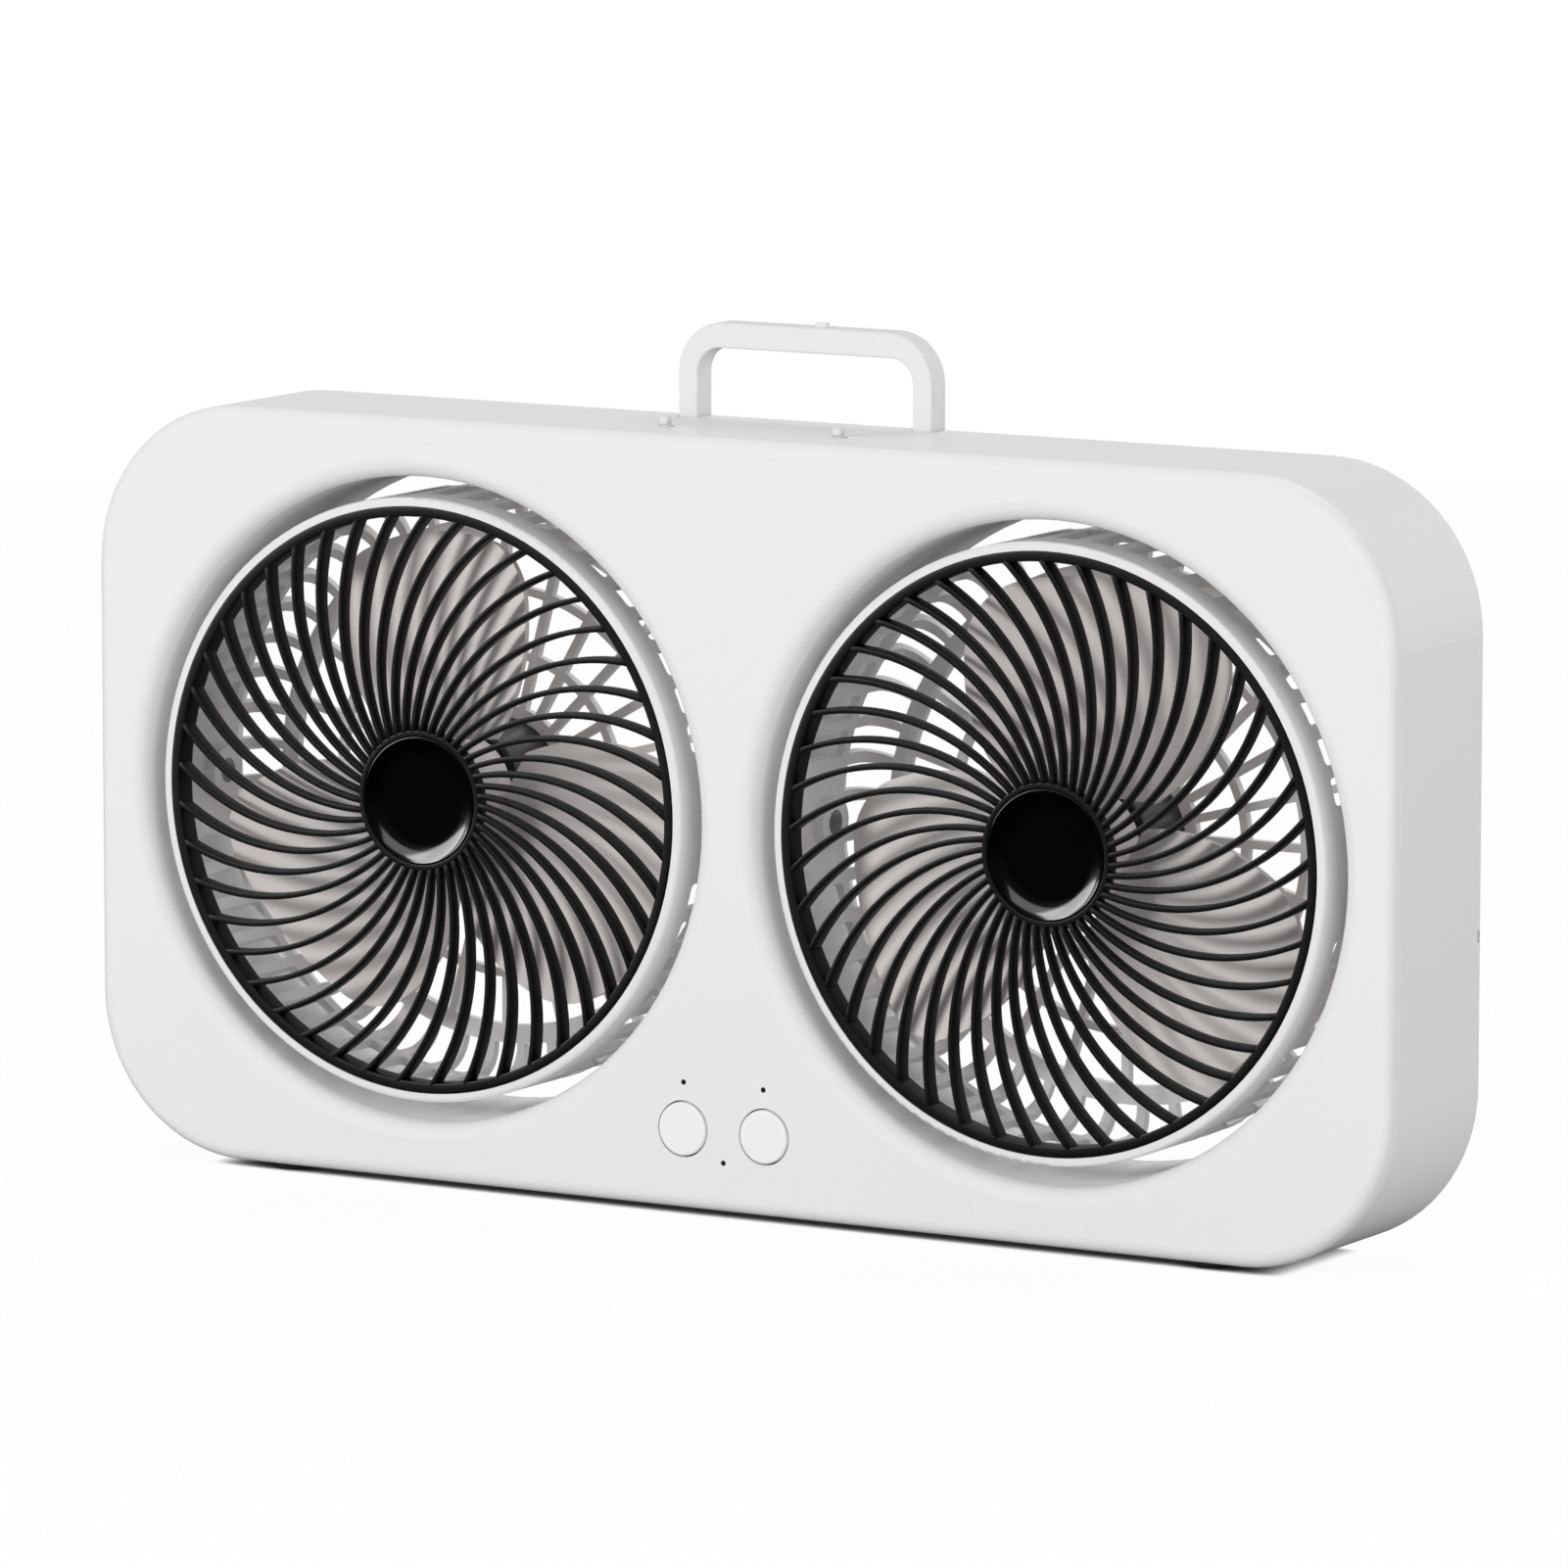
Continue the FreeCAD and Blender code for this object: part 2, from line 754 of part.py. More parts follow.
def shell_top_and_base(body):
    """Slots for the slide knobs, notches for the handle's legs, foot holes and the pry slot."""
    sketch = add_sketch(body, "XY_Plane", TOP)
    half_slot = s.slide_stem_thick / 2 + s.slip_gap
    leg_out = s.handle_width / 2 + s.tray_gap
    leg_in = s.handle_width / 2 - s.leg_width - s.tray_gap
    for side in (-1, 1):
        middle = side * s.slide_x
        half = s.slide_slot / 2
        add_rectangle(sketch, middle - half, middle + half, SLIDE_Y - half_slot, SLIDE_Y + half_slot)
    add_rectangle(sketch, leg_in, leg_out, BACK - s.handle_depth - s.tray_gap, BACK + s.wall)
    add_rectangle(sketch, -leg_out, -leg_in, BACK - s.handle_depth - s.tray_gap, BACK + s.wall)
    cut_pocket(body, sketch, "XY_Plane", "-Z", s.wall)
    sketch = add_sketch(body, "XY_Plane", -TOP)
    for x in (-1, 1):
        for y in (-1, 1):
            add_circle(sketch, s.foot_peg + s.press_gap, x * s.foot_x, y * s.foot_y)
    cut_pocket(body, sketch, "XY_Plane", "+Z", s.wall)
    sketch = add_sketch(body, "YZ_Plane", s.housing_width / 2)
    low = -s.pry_drop - s.pry_height / 2
    rear = BACK - s.pry_edge
    add_rectangle(sketch, rear - s.pry_depth, rear, low, low + s.pry_height)
    cut_pocket(body, sketch, "YZ_Plane", "-X", s.wall)


def rear_cover():
    """Rear panel set into the casing, with the tray that the folded handle lies in."""
    body = new_body("rear_cover")
    half_x = s.housing_width / 2 - s.wall - s.cover_gap
    half_z = TOP - s.wall - s.cover_gap
    radius = s.corner_radius - s.wall - s.cover_gap
    sketch = add_sketch(body, "XZ_Plane", -BACK)
    add_rounded(sketch, -half_x, half_x, -half_z, half_z, radius)
    raise_pad(body, sketch, "XZ_Plane", "-Y", s.cover_thick)

    tray_x = s.handle_width / 2 + s.tray_gap
    tray_low = PIVOT_HEIGHT - s.handle_rise - s.handle_depth / 2 - s.pip_height - s.tray_gap
    tray_depth = s.handle_depth + s.tray_gap
    out_x = tray_x + s.tray_wall
    out_low = tray_low - s.tray_wall
    bend = s.handle_bend
    out_bend = bend + s.tray_wall
    sketch = add_sketch(body, "XZ_Plane", -COVER_FACE)
    add_outline(sketch, [
        (-out_x, half_z), (-out_x, out_low + out_bend, out_bend), (-out_x + out_bend, out_low),
        (out_x - out_bend, out_low, out_bend), (out_x, out_low + out_bend), (out_x, half_z),
    ])
    raise_pad(body, sketch, "XZ_Plane", "-Y", tray_depth - s.cover_thick + s.tray_wall)
    ears = []
    sketch = add_sketch(body, "YZ_Plane", out_x - s.tray_wall / 2)
    add_circle(sketch, s.ear_radius, PIVOT_DEPTH, PIVOT_HEIGHT - s.wall)
    ears.append(raise_pad(body, sketch, "YZ_Plane", "+X", s.ear_reach + s.tray_wall / 2))
    mirror_across(body, ears, "YZ_Plane")
    sketch = add_sketch(body, "XZ_Plane", -BACK)
    add_outline(sketch, [
        (-tray_x, half_z), (-tray_x, tray_low + bend, bend), (-tray_x + bend, tray_low),
        (tray_x - bend, tray_low, bend), (tray_x, tray_low + bend), (tray_x, half_z),
    ])
    cut_pocket(body, sketch, "XZ_Plane", "-Y", tray_depth)
    sketch = add_sketch(body, "YZ_Plane")
    add_circle(sketch, s.handle_pin + s.running_gap, PIVOT_DEPTH, PIVOT_HEIGHT)
    cut_pocket(body, sketch, "YZ_Plane")

    sketch = add_sketch(body, "XZ_Plane", -BACK)
    for side in (-1, 1):
        add_circle(sketch, s.tunnel_radius, side * s.head_offset)
    for x, z in boss_places():
        add_circle(sketch, s.screw_radius + s.running_gap, x, z)
    socket_x = s.socket_width / 2 + s.slip_gap
    socket_z = s.socket_height / 2 + s.slip_gap
    add_rounded(sketch, s.socket_x - socket_x, s.socket_x + socket_x,
                -s.socket_drop - socket_z, -s.socket_drop + socket_z, s.socket_round + s.slip_gap)
    cut_pocket(body, sketch, "XZ_Plane", "-Y", s.cover_thick)
    sketch = add_sketch(body, "XZ_Plane", -BACK)
    for x, z in boss_places():
        add_circle(sketch, s.screw_head + s.slip_gap, x, z)
    cut_pocket(body, sketch, "XZ_Plane", "-Y", s.screw_head_height)
    round_circles(body, s.cover_lip, BACK, s.tunnel_radius)
    return place(body, z=MIDDLE)


def cover_screws():
    """The screws that hold the rear cover."""
    head_face = BACK - s.screw_head_height
    items = []
    for index, (x, z) in enumerate(boss_places()):
        reach = s.screw_reach
        items.append(screw(f"cover_screw_{index}", s.screw_radius, s.screw_head, s.screw_head_height,
                           reach, x, head_face, MIDDLE + z))
    return grouped("cover_screws", items)


def feet():
    """Four rubber feet, pegged into the base."""
    items = []
    for x in (-1, 1):
        for y in (-1, 1):
            spot = (x * s.foot_x, y * s.foot_y)
            pad = rod("foot_pad", "z", s.foot_radius, s.foot_height, *spot, ZERO)
            peg = rod("foot_peg_rod", "z", s.foot_peg, s.foot_height + s.wall, *spot, ZERO)
            items.append(joined("foot", [pad, peg]))
    return grouped("feet", items)


def handle():
    """Square-section handle that turns on two pins and lies in the rear tray when folded."""
    body = new_body("handle")
    half = s.handle_width / 2
    inner = half - s.leg_width
    low = -s.handle_depth / 2
    high = s.handle_rise + s.handle_depth / 2
    under = high - s.bar_thick
    bend = s.handle_bend
    inner_bend = s.handle_bend - s.bar_thick
    sketch = add_sketch(body, "XZ_Plane", -s.handle_depth / 2)
    add_outline(sketch, [
        (-half, low), (-inner, low), (-inner, under - inner_bend, -inner_bend), (-inner + inner_bend, under),
        (inner - inner_bend, under, -inner_bend), (inner, under - inner_bend), (inner, low), (half, low),
        (half, high - bend, bend), (half - bend, high), (-half + bend, high, bend), (-half, high - bend),
    ])
    raise_pad(body, sketch, "XZ_Plane", "-Y", s.handle_depth)
    round_edges(body, s.handle_depth / 2 - s.press_gap, lambda edge: is_leg_end(edge, low))
    round_edges(body, s.handle_soft, is_handle_side)
    sketch = add_sketch(body, "XZ_Plane", -s.pip_depth / 2)
    pip = s.pip_width / 2
    add_rectangle(sketch, s.pip_x - pip, s.pip_x + pip, high - s.bar_thick / 2, high + s.pip_height)
    raise_pad(body, sketch, "XZ_Plane", "-Y", s.pip_depth)
    sketch = add_sketch(body, "YZ_Plane")
    add_circle(sketch, s.handle_pin + s.press_gap)
    cut_pocket(body, sketch, "YZ_Plane")
    return place(body, ZERO, PIVOT_DEPTH, MIDDLE + PIVOT_HEIGHT)


def is_leg_end(edge, low):
    """Tell whether an edge runs across the end of a leg."""
    box = edge.BoundBox
    flat = near(box.ZMin, low) and near(box.ZMax, low)
    return flat and near(box.XLength, s.leg_width)


def is_handle_side(edge):
    """Tell whether an edge borders a front or back side of the handle above its round ends."""
    box = edge.BoundBox
    on_side = near(abs(box.YMin), s.handle_depth / 2) and near(box.YLength, 0)
    return on_side and box.ZMax > s.handle_depth.value


def handle_pins():
    """Two pins, pressed into the legs, that turn in the tray's ears."""
    start = s.handle_width / 2 - s.leg_width + s.handle_soft
    height = MIDDLE + PIVOT_HEIGHT
    right = rod("handle_pin_right", "x", s.handle_pin, s.handle_pin_length, start, PIVOT_DEPTH, height)
    left_start = -start - s.handle_pin_length
    left = rod("handle_pin_left", "x", s.handle_pin, s.handle_pin_length, left_start, PIVOT_DEPTH, height)
    return grouped("handle_pins", [left, right])


def button(label, side):
    """Round push button with a flange behind the face and a plunger."""
    flange = FRONT_WALL + s.button_flange_gap
    rear = flange + s.button_flange_thick
    end = BOARD_FACE - s.switch_height - s.switch_stem - s.press_margin - s.button_travel
    body = turned(label, [
        (ZERO, FRONT), (s.button_radius - s.button_edge, FRONT, s.button_edge),
        (s.button_radius, FRONT + s.button_edge), (s.button_radius, flange),
        (s.button_radius + s.button_flange, flange), (s.button_radius + s.button_flange, rear),
        (s.button_plunger, rear), (s.button_plunger, end), (ZERO, end),
    ])
    return place(body, side * s.button_x, ZERO, MIDDLE - s.button_drop)


def control_board():
    """Board behind the buttons, with holes for its screws."""
    low = MIDDLE - s.board_drop - s.board_height / 2
    plate = block("board_plate", s.board_width, s.board_thick, s.board_height, ZERO, BOARD_FACE, low)
    holes = []
    for x, z in board_post_places():
        radius = s.board_screw + s.press_gap
        holes.append(rod("board_hole", "y", radius, s.board_thick, x, BOARD_FACE, MIDDLE + z))
    return cut_from("control_board", plate, grouped("board_holes", holes))


def board_screws():
    """Screws that hold the control board on its posts."""
    back = BOARD_FACE + s.board_thick
    items = []
    for index, (x, z) in enumerate(board_post_places()):
        reach = s.board_screw_reach
        items.append(screw(f"board_screw_{index}", s.board_screw, s.board_screw_head,
                           s.board_screw_height, reach, x, back, MIDDLE + z))
    return grouped("board_screws", items)


def button_switches():
    """Two tactile switches that stand on the control board."""
    items = []
    for side in (-1, 1):
        x = side * s.button_x
        low = MIDDLE - s.button_drop - s.switch_side / 2
        front = BOARD_FACE - s.switch_height
        case = block("switch_case", s.switch_side, s.switch_height, s.switch_side, x, front, low)
        stem = rod("switch_stem_rod", "y", s.switch_actuator, s.switch_height, x, front - s.switch_stem,
                   MIDDLE - s.button_drop)
        items.append(joined("switch", [case, stem]))
    return grouped("button_switches", items)


def light_pipes():
    """Three light pipes from the board to the face."""
    items = []
    for x, z in light_places():
        items.append(rod("light_pipe", "y", s.light_radius, s.board_set_back, x, FRONT, MIDDLE + z))
    return grouped("light_pipes", items)


def battery_pieces():
    """One round cell and the cradle that carries it on the base."""
    floor = s.foot_height + s.wall
    height = floor + s.cradle_wall + s.cell_radius
    cell = rod("battery_cell", "x", s.cell_radius, s.cell_length, -s.cell_length / 2, s.cell_y, height)
    depth = 2 * (s.cell_radius + s.cradle_wall)
    length = s.cell_length + 2 * s.cradle_wall
    outside = block("cradle_block", length, depth, s.cradle_height, ZERO, s.cell_y - depth / 2, floor)
    room = s.cell_length + 2 * s.cradle_gap
    bore = s.cell_radius + s.cradle_gap
    trough = rod("cradle_trough", "x", bore, room, -room / 2, s.cell_y, height)
    return [cell, cut_from("battery_cradle", outside, trough)]


def charge_socket():
    """Flat round-ended charging socket, open at the rear, with a tongue inside."""
    body = new_body("charge_socket")
    front = BACK - s.socket_length - s.slip_gap
    half_x = s.socket_width / 2
    half_z = s.socket_height / 2
    sketch = add_sketch(body, "XZ_Plane", -front)
    add_rounded(sketch, -half_x, half_x, -half_z, half_z, s.socket_round)
    raise_pad(body, sketch, "XZ_Plane", "+Y", s.socket_length)
    sketch = add_sketch(body, "XZ_Plane", -front - s.socket_length)
    in_x = half_x - s.socket_shell
    in_z = half_z - s.socket_shell
    add_rounded(sketch, -in_x, in_x, -in_z, in_z, s.socket_round - s.socket_shell)
    cut_pocket(body, sketch, "XZ_Plane", "-Y", s.socket_length - s.socket_shell)
    sketch = add_sketch(body, "XZ_Plane", -front)
    tongue_x = half_x - s.socket_height / 2
    add_rectangle(sketch, -tongue_x, tongue_x, -s.socket_tongue / 2, s.socket_tongue / 2)
    raise_pad(body, sketch, "XZ_Plane", "+Y", s.socket_length - s.socket_shell)
    return place(body, s.socket_x, ZERO, MIDDLE - s.socket_drop)


def charge_board_pieces():
    """Small board under the charging socket, and its posts."""
    board_low = MIDDLE - s.socket_drop - s.socket_height / 2 - s.charge_board_thick
    board = block("charge_board", s.charge_board_width, s.charge_board_depth, s.charge_board_thick,
                  s.socket_x, COVER_FACE - s.charge_board_depth, board_low)
    floor = s.foot_height + s.wall
    posts = []
    for side in (-1, 1):
        x = s.socket_x + side * (s.charge_board_width / 2 - s.charge_post)
        y = COVER_FACE - s.charge_board_depth / 2
        posts.append(rod("charge_post_rod", "z", s.charge_post, board_low - floor, x, y, floor))
    return [board, grouped("charge_posts", posts)]


def slide_knob(label, side):
    """Knob of a top slide switch, resting at the left end of its slot."""
    x = side * s.slide_x - s.slide_rest
    top = MIDDLE + TOP
    stem_low = top - s.wall - s.slide_stem_dip
    cap_low = top + s.slip_gap
    cap = block(f"{label}_cap", s.slide_knob_width, s.slide_knob_depth, s.slide_knob_height - s.slip_gap,
                x, SLIDE_Y - s.slide_knob_depth / 2, cap_low)
    stem = block(f"{label}_stem", s.slide_stem_width, s.slide_stem_thick,
                 cap_low - stem_low + s.slip_gap, x, SLIDE_Y - s.slide_stem_thick / 2, stem_low)
    return joined(label, [cap, stem])


def slide_switch_bodies():
    """Two slide switch bodies under the top wall, each open where its knob's stem runs."""
    top = MIDDLE + TOP - s.wall
    travel = 2 * s.slide_rest + s.slide_stem_width + 2 * s.slip_gap
    dip = s.slide_stem_dip + s.slip_gap
    items = []
    for side in (-1, 1):
        x = side * s.slide_x
        case = block("slide_case", s.slide_body_width, s.slide_body_depth, s.slide_body_height,
                     x, SLIDE_Y - s.slide_body_depth / 2, top - s.slide_body_height)
        gap = s.slide_stem_thick + 2 * s.slip_gap
        groove = block("slide_groove", travel, gap, dip, x, SLIDE_Y - gap / 2, top - dip)
        items.append(cut_from("slide_body", case, groove))
    return grouped("slide_switch_bodies", items)


def guard_basket(label):
    """Basket of a head: rim, slotted drum wall and the flange that holds the rear lattice."""
    inner_bend = s.basket_round - s.drum_wall
    turn_in = s.head_half_depth - s.basket_round
    ledge = BASKET_BORE - s.ledge_width
    seat = RIM + s.grille_depth
    body = turned(
        label,
        [
            (s.drum_radius, RIM), (s.drum_radius, turn_in, s.basket_round),
            (s.drum_radius - s.basket_round, s.head_half_depth), (s.lattice_rim, s.head_half_depth),
            (s.lattice_rim, LATTICE), (s.drum_radius - s.basket_round, LATTICE, -inner_bend),
            (BASKET_BORE, turn_in), (BASKET_BORE, seat + s.ledge_depth), (ledge, seat + s.ledge_depth),
            (ledge, seat), (BASKET_BORE, seat), (BASKET_BORE, RIM),
        ],
    )

    def is_rim(edge):
        return lies_at_y(edge, RIM) and near(edge.BoundBox.XMax, s.drum_radius)

    round_edges(body, s.rim_round, is_rim)
    cut_side_slots(body)
    cut_rear_slots(body)
    sketch = add_sketch(body, "YZ_Plane", BASKET_BORE - s.pin_seat + s.drum_wall)
    add_circle(sketch, s.pivot_boss)
    reach = s.tunnel_radius - s.pivot_gap - BASKET_BORE + s.pin_seat - s.drum_wall
    boss = raise_pad(body, sketch, "YZ_Plane", "+X", reach)
    mirror_across(body, [boss], "YZ_Plane")
    sketch = add_sketch(body, "YZ_Plane")
    add_circle(sketch, s.pin_radius + s.press_gap)
    cut_pocket(body, sketch, "YZ_Plane")
    return place(body, -s.head_offset, ZERO, MIDDLE)


def rear_lattice(label):
    """Rear lattice of a head: rings, spokes and the motor's plate, pressed into the basket's flange."""
    half = s.lattice_bar / 2
    rim = s.lattice_rim - s.press_gap - half
    rings = []
    for radius in (rim, s.ring_middle, s.ring_inner):
        rings.append(ring_outline(radius - half, radius + half, LATTICE, s.head_half_depth))
    body = turned(label, *rings, ring_outline(ZERO, s.motor_plate, LATTICE, s.head_half_depth))
    sketch = add_sketch(body, "XZ_Plane", -LATTICE)
    add_rectangle(sketch, s.motor_plate - s.lattice_bar, rim, -half, half)
    spoke = raise_pad(body, sketch, "XZ_Plane", "+Y", s.lattice_thick)
    repeat_round(body, [spoke], s.spoke_count)
    sketch = add_sketch(body, "XZ_Plane", -LATTICE)
    for x, z in motor_screw_places():
        add_circle(sketch, s.motor_screw_radius + s.press_gap, x, z)
    cut_pocket(body, sketch, "XZ_Plane", "+Y", s.lattice_thick)
    return place(body, -s.head_offset, ZERO, MIDDLE)


def cut_side_slots(body):
    """Cut pairs of slots through the drum wall, above and below the pivots."""
    spread = (s.slot_pairs - 1) * s.slot_pitch
    first = spread / 2
    start = RIM + s.band_depth
    half = s.slot_width / 2
    slots = []
    for reach, toward in ((BASKET_BORE - s.drum_wall, "+Z"), (s.drum_wall - BASKET_BORE, "-Z")):
        sketch = add_sketch(body, "XY_Plane", reach * cosine(first))
        turn = FreeCAD.Rotation(FreeCAD.Vector(0, -1, 0), 1)
        sketch.AttachmentOffset = FreeCAD.Placement(FreeCAD.Vector(), turn)
        set_size(sketch, "AttachmentOffset.Rotation.Angle", first)
        set_size(sketch, "AttachmentOffset.Base.x", -reach * sine(first))
        add_rounded(sketch, -half, half, start, start + s.slot_length, s.slot_round)
        slots.append(cut_pocket(body, sketch, "XY_Plane", toward, 3 * s.drum_wall))
    repeat_round(body, slots, s.slot_pairs, spread)


def cut_rear_slots(body):
    """Cut slots from the rear through the drum's bend, all round its flange."""
    half = s.rear_slot_share * s.rear_slot_root / 2
    sketch = add_sketch(body, "XZ_Plane", -s.head_half_depth)
    add_rectangle(sketch, s.rear_slot_root, s.drum_radius + s.drum_wall, -half, half)
    slot = cut_pocket(body, sketch, "XZ_Plane", "-Y", s.rear_slot_depth)
    repeat_round(body, [slot], s.rear_slot_count)


def motor_screw_places():
    """Three places round the motor's axis."""
    places = []
    for step in range(3):
        angle = as_size(90 + 120 * step)
        places.append((s.motor_screw_ring * cosine(angle), s.motor_screw_ring * sine(angle)))
    return places


def front_grille(label):
    """Black front grille: rim, hub and curved bars that sweep clockwise from the hub."""
    rear = RIM + s.grille_depth
    recess = s.cap_radius + s.grille_gap
    body = turned(
        label,
        ring_outline(GRILLE_BORE, GRILLE_RADIUS, RIM, rear),
        [
            (ZERO, RIM + s.cap_depth), (recess, RIM + s.cap_depth), (recess, RIM), (s.hub_radius, RIM),
            (s.hub_radius, RIM + s.hub_depth), (ZERO, RIM + s.hub_depth),
        ],
    )
    sketch = add_sketch(body, "XZ_Plane", -RIM)
    add_curved_bar(sketch)
    bar = raise_pad(body, sketch, "XZ_Plane", "+Y", s.bar_depth_rim)
    repeat_round(body, [bar], s.bar_count)
    before = body.Shape.Volume
    sketch = add_sketch(body, "XY_Plane")
    add_outline(sketch, [
        (s.hub_radius, RIM + s.bar_depth_hub), (GRILLE_BORE, RIM + s.bar_depth_rim),
        (GRILLE_BORE, RIM + s.grille_depth), (s.hub_radius, RIM + s.grille_depth),
    ])
    groove = body.newObject("PartDesign::Groove", "Groove")
    groove.Profile = sketch
    groove.ReferenceAxis = (sketch, ["V_Axis"])
    groove.Angle = 360
    finish_feature(body, groove)
    if not body.Shape.Volume < before:
        raise RuntimeError("the bars of the grille are not tapered")
    return place(body, -s.head_offset, ZERO, MIDDLE)


def add_curved_bar(sketch):
    """Draw one bar between two concentric arcs, from inside the hub's edge to inside the rim."""
    centre_x = s.hub_radius - s.bar_bend * sine(s.bar_lean)
    centre_z = -s.bar_bend * cosine(s.bar_lean)
    centre = FreeCAD.Vector(centre_x.value, centre_z.value, 0)
    axis = FreeCAD.Vector(0, 0, 1)
    reaches = [s.hub_radius - s.bar_root, GRILLE_BORE + s.bar_root]
    guides = []
    for reach in reaches:
        guide = sketch.addGeometry(Part.Circle(FreeCAD.Vector(), axis, reach.value), True)
        bind_radius(sketch, guide, reach)
        pin_point(sketch, guide, 3, ZERO, ZERO)
        guides.append(guide)
    limbs = []
    for side in (-1, 1):
        radius = s.bar_bend + side * s.bar_width / 2
        hub_end, rim_end = [bar_end(centre, radius.value, reach.value) for reach in reaches]
        circle = Part.Circle(centre, axis, radius.value)
        arc = Part.ArcOfCircle(circle, circle.parameter(rim_end), circle.parameter(hub_end))
        limb = sketch.addGeometry(arc)
        bind_radius(sketch, limb, radius)
        pin_point(sketch, limb, 3, centre_x, centre_z)
        sketch.addConstraint(Sketcher.Constraint("PointOnObject", limb, 1, guides[1]))
        sketch.addConstraint(Sketcher.Constraint("PointOnObject", limb, 2, guides[0]))
        limbs.append(limb)
    for end in (1, 2):
        points = [sketch.getPoint(limb, end) for limb in limbs]
        line = sketch.addGeometry(Part.LineSegment(*points))
        sketch.addConstraint(Sketcher.Constraint("Coincident", line, 1, limbs[0], end))
        sketch.addConstraint(Sketcher.Constraint("Coincident", line, 2, limbs[1], end))


def bar_end(centre, radius, reach):
    """Point on the bar's arc at a given reach from the hub's middle."""
    distance = centre.Length
    along = (reach * reach - radius * radius + distance * distance) / (2 * distance)
    across = math.sqrt(reach * reach - along * along)
    unit = FreeCAD.Vector(centre).normalize()
    return unit * along + FreeCAD.Vector(-unit.y, unit.x, 0) * across


def hub_cap(label):
    """Glossy dished cap in the middle of the grille."""
    rim = s.cap_radius - s.cap_lip
    floor = RIM + s.cap_sink
    dish = square_root(s.cap_sink * (2 * s.cap_bend - s.cap_sink))
    body = turned(label, [
        (ZERO, floor), (ZERO, RIM + s.cap_depth), (s.cap_radius, RIM + s.cap_depth),
        (s.cap_radius, RIM), (rim, RIM, s.cap_bend), (rim - dish, floor),
    ])
    return place(body, -s.head_offset, ZERO, MIDDLE)


def blade_section(body, at, half, ahead, slope, camber):
    """Curved plate section of a blade, across its length."""
    sketch = add_sketch(body, "YZ_Plane", at)
    rise = slope * half
    chord_squared = 4 * half * half + 4 * rise * rise
    bend = chord_squared / (8 * camber)
    thick = s.blade_thick
    add_outline(sketch, [
        (rise - ahead, half, -bend), (-rise - ahead, -half),
        (thick - rise - ahead, -half, bend), (thick + rise - ahead, half),
    ])
    return sketch


def rotor(label):
    """Three broad round-tipped blades on a cup-shaped hub."""
    front = -s.rotor_hub_front
    rear = front + s.rotor_hub_depth
    round_over = s.rotor_hub_wall
    bore = s.shaft_radius + s.press_gap
    cup = s.rotor_hub - s.rotor_hub_wall
    hub = turned(f"{label}_hub", [
        (bore, front), (cup, front, round_over), (s.rotor_hub, front + round_over), (s.rotor_hub, rear),
        (cup, rear), (cup, front + s.rotor_plate), (s.rotor_collar, front + s.rotor_plate),
        (s.rotor_collar, rear - s.rotor_hub_wall), (bore, rear - s.rotor_hub_wall),
    ])
    blades = new_body(f"{label}_blades")
    inner = s.rotor_hub - s.rotor_hub_wall / 2
    root = blade_section(blades, inner, s.blade_root_half, s.blade_root_ahead,
                         s.blade_root_slope, s.blade_root_camber)
    tip = blade_section(blades, s.rotor_radius + s.blade_over, s.blade_tip_half, s.blade_tip_ahead,
                        s.blade_tip_slope, s.blade_tip_camber)
    loft = blades.newObject("PartDesign::AdditiveLoft", "Loft")
    loft.Profile = root
    loft.Sections = [tip]
    loft.Ruled = True
    finish_feature(blades, loft)
    sketch = add_sketch(blades, "XZ_Plane")
    big = 2 * s.rotor_radius
    add_rectangle(sketch, ZERO, big, -big, big)
    low = -s.blade_low_angle
    high = s.blade_high_angle
    reach = s.rotor_radius
    shoulder = reach - s.blade_corner
    tip_low = low + s.blade_corner_angle
    tip_high = high - s.blade_corner_angle
    add_outline(sketch, [
        (inner - s.blade_over, -s.blade_foot, s.blade_side_bend),
        (shoulder * cosine(low), shoulder * sine(low), s.blade_corner_bend),
        (reach * cosine(tip_low), reach * sine(tip_low), reach),
        (reach * cosine(tip_high), reach * sine(tip_high), s.blade_corner_bend),
        (shoulder * cosine(high), shoulder * sine(high), s.blade_side_bend),
        (inner - s.blade_over, s.blade_foot),
    ])
    cut_pocket(blades, sketch, "XZ_Plane")
    pattern = blades.newObject("PartDesign::PolarPattern", "PolarPattern")
    pattern.TransformMode = "Whole shape"
    pattern.Axis = (origin_part(blades, "Y_Axis"), [""])
    pattern.Angle = 360
    set_size(pattern, "Occurrences", s.blade_count)
    finish_feature(blades, pattern)
    item = joined(label, [hub, blades])
    place(item, -s.head_offset, ZERO, MIDDLE, FreeCAD.Rotation(FreeCAD.Vector(0, -1, 0), 1))
    set_size(item, "Placement.Rotation.Angle", s.blade_turn)
    return item


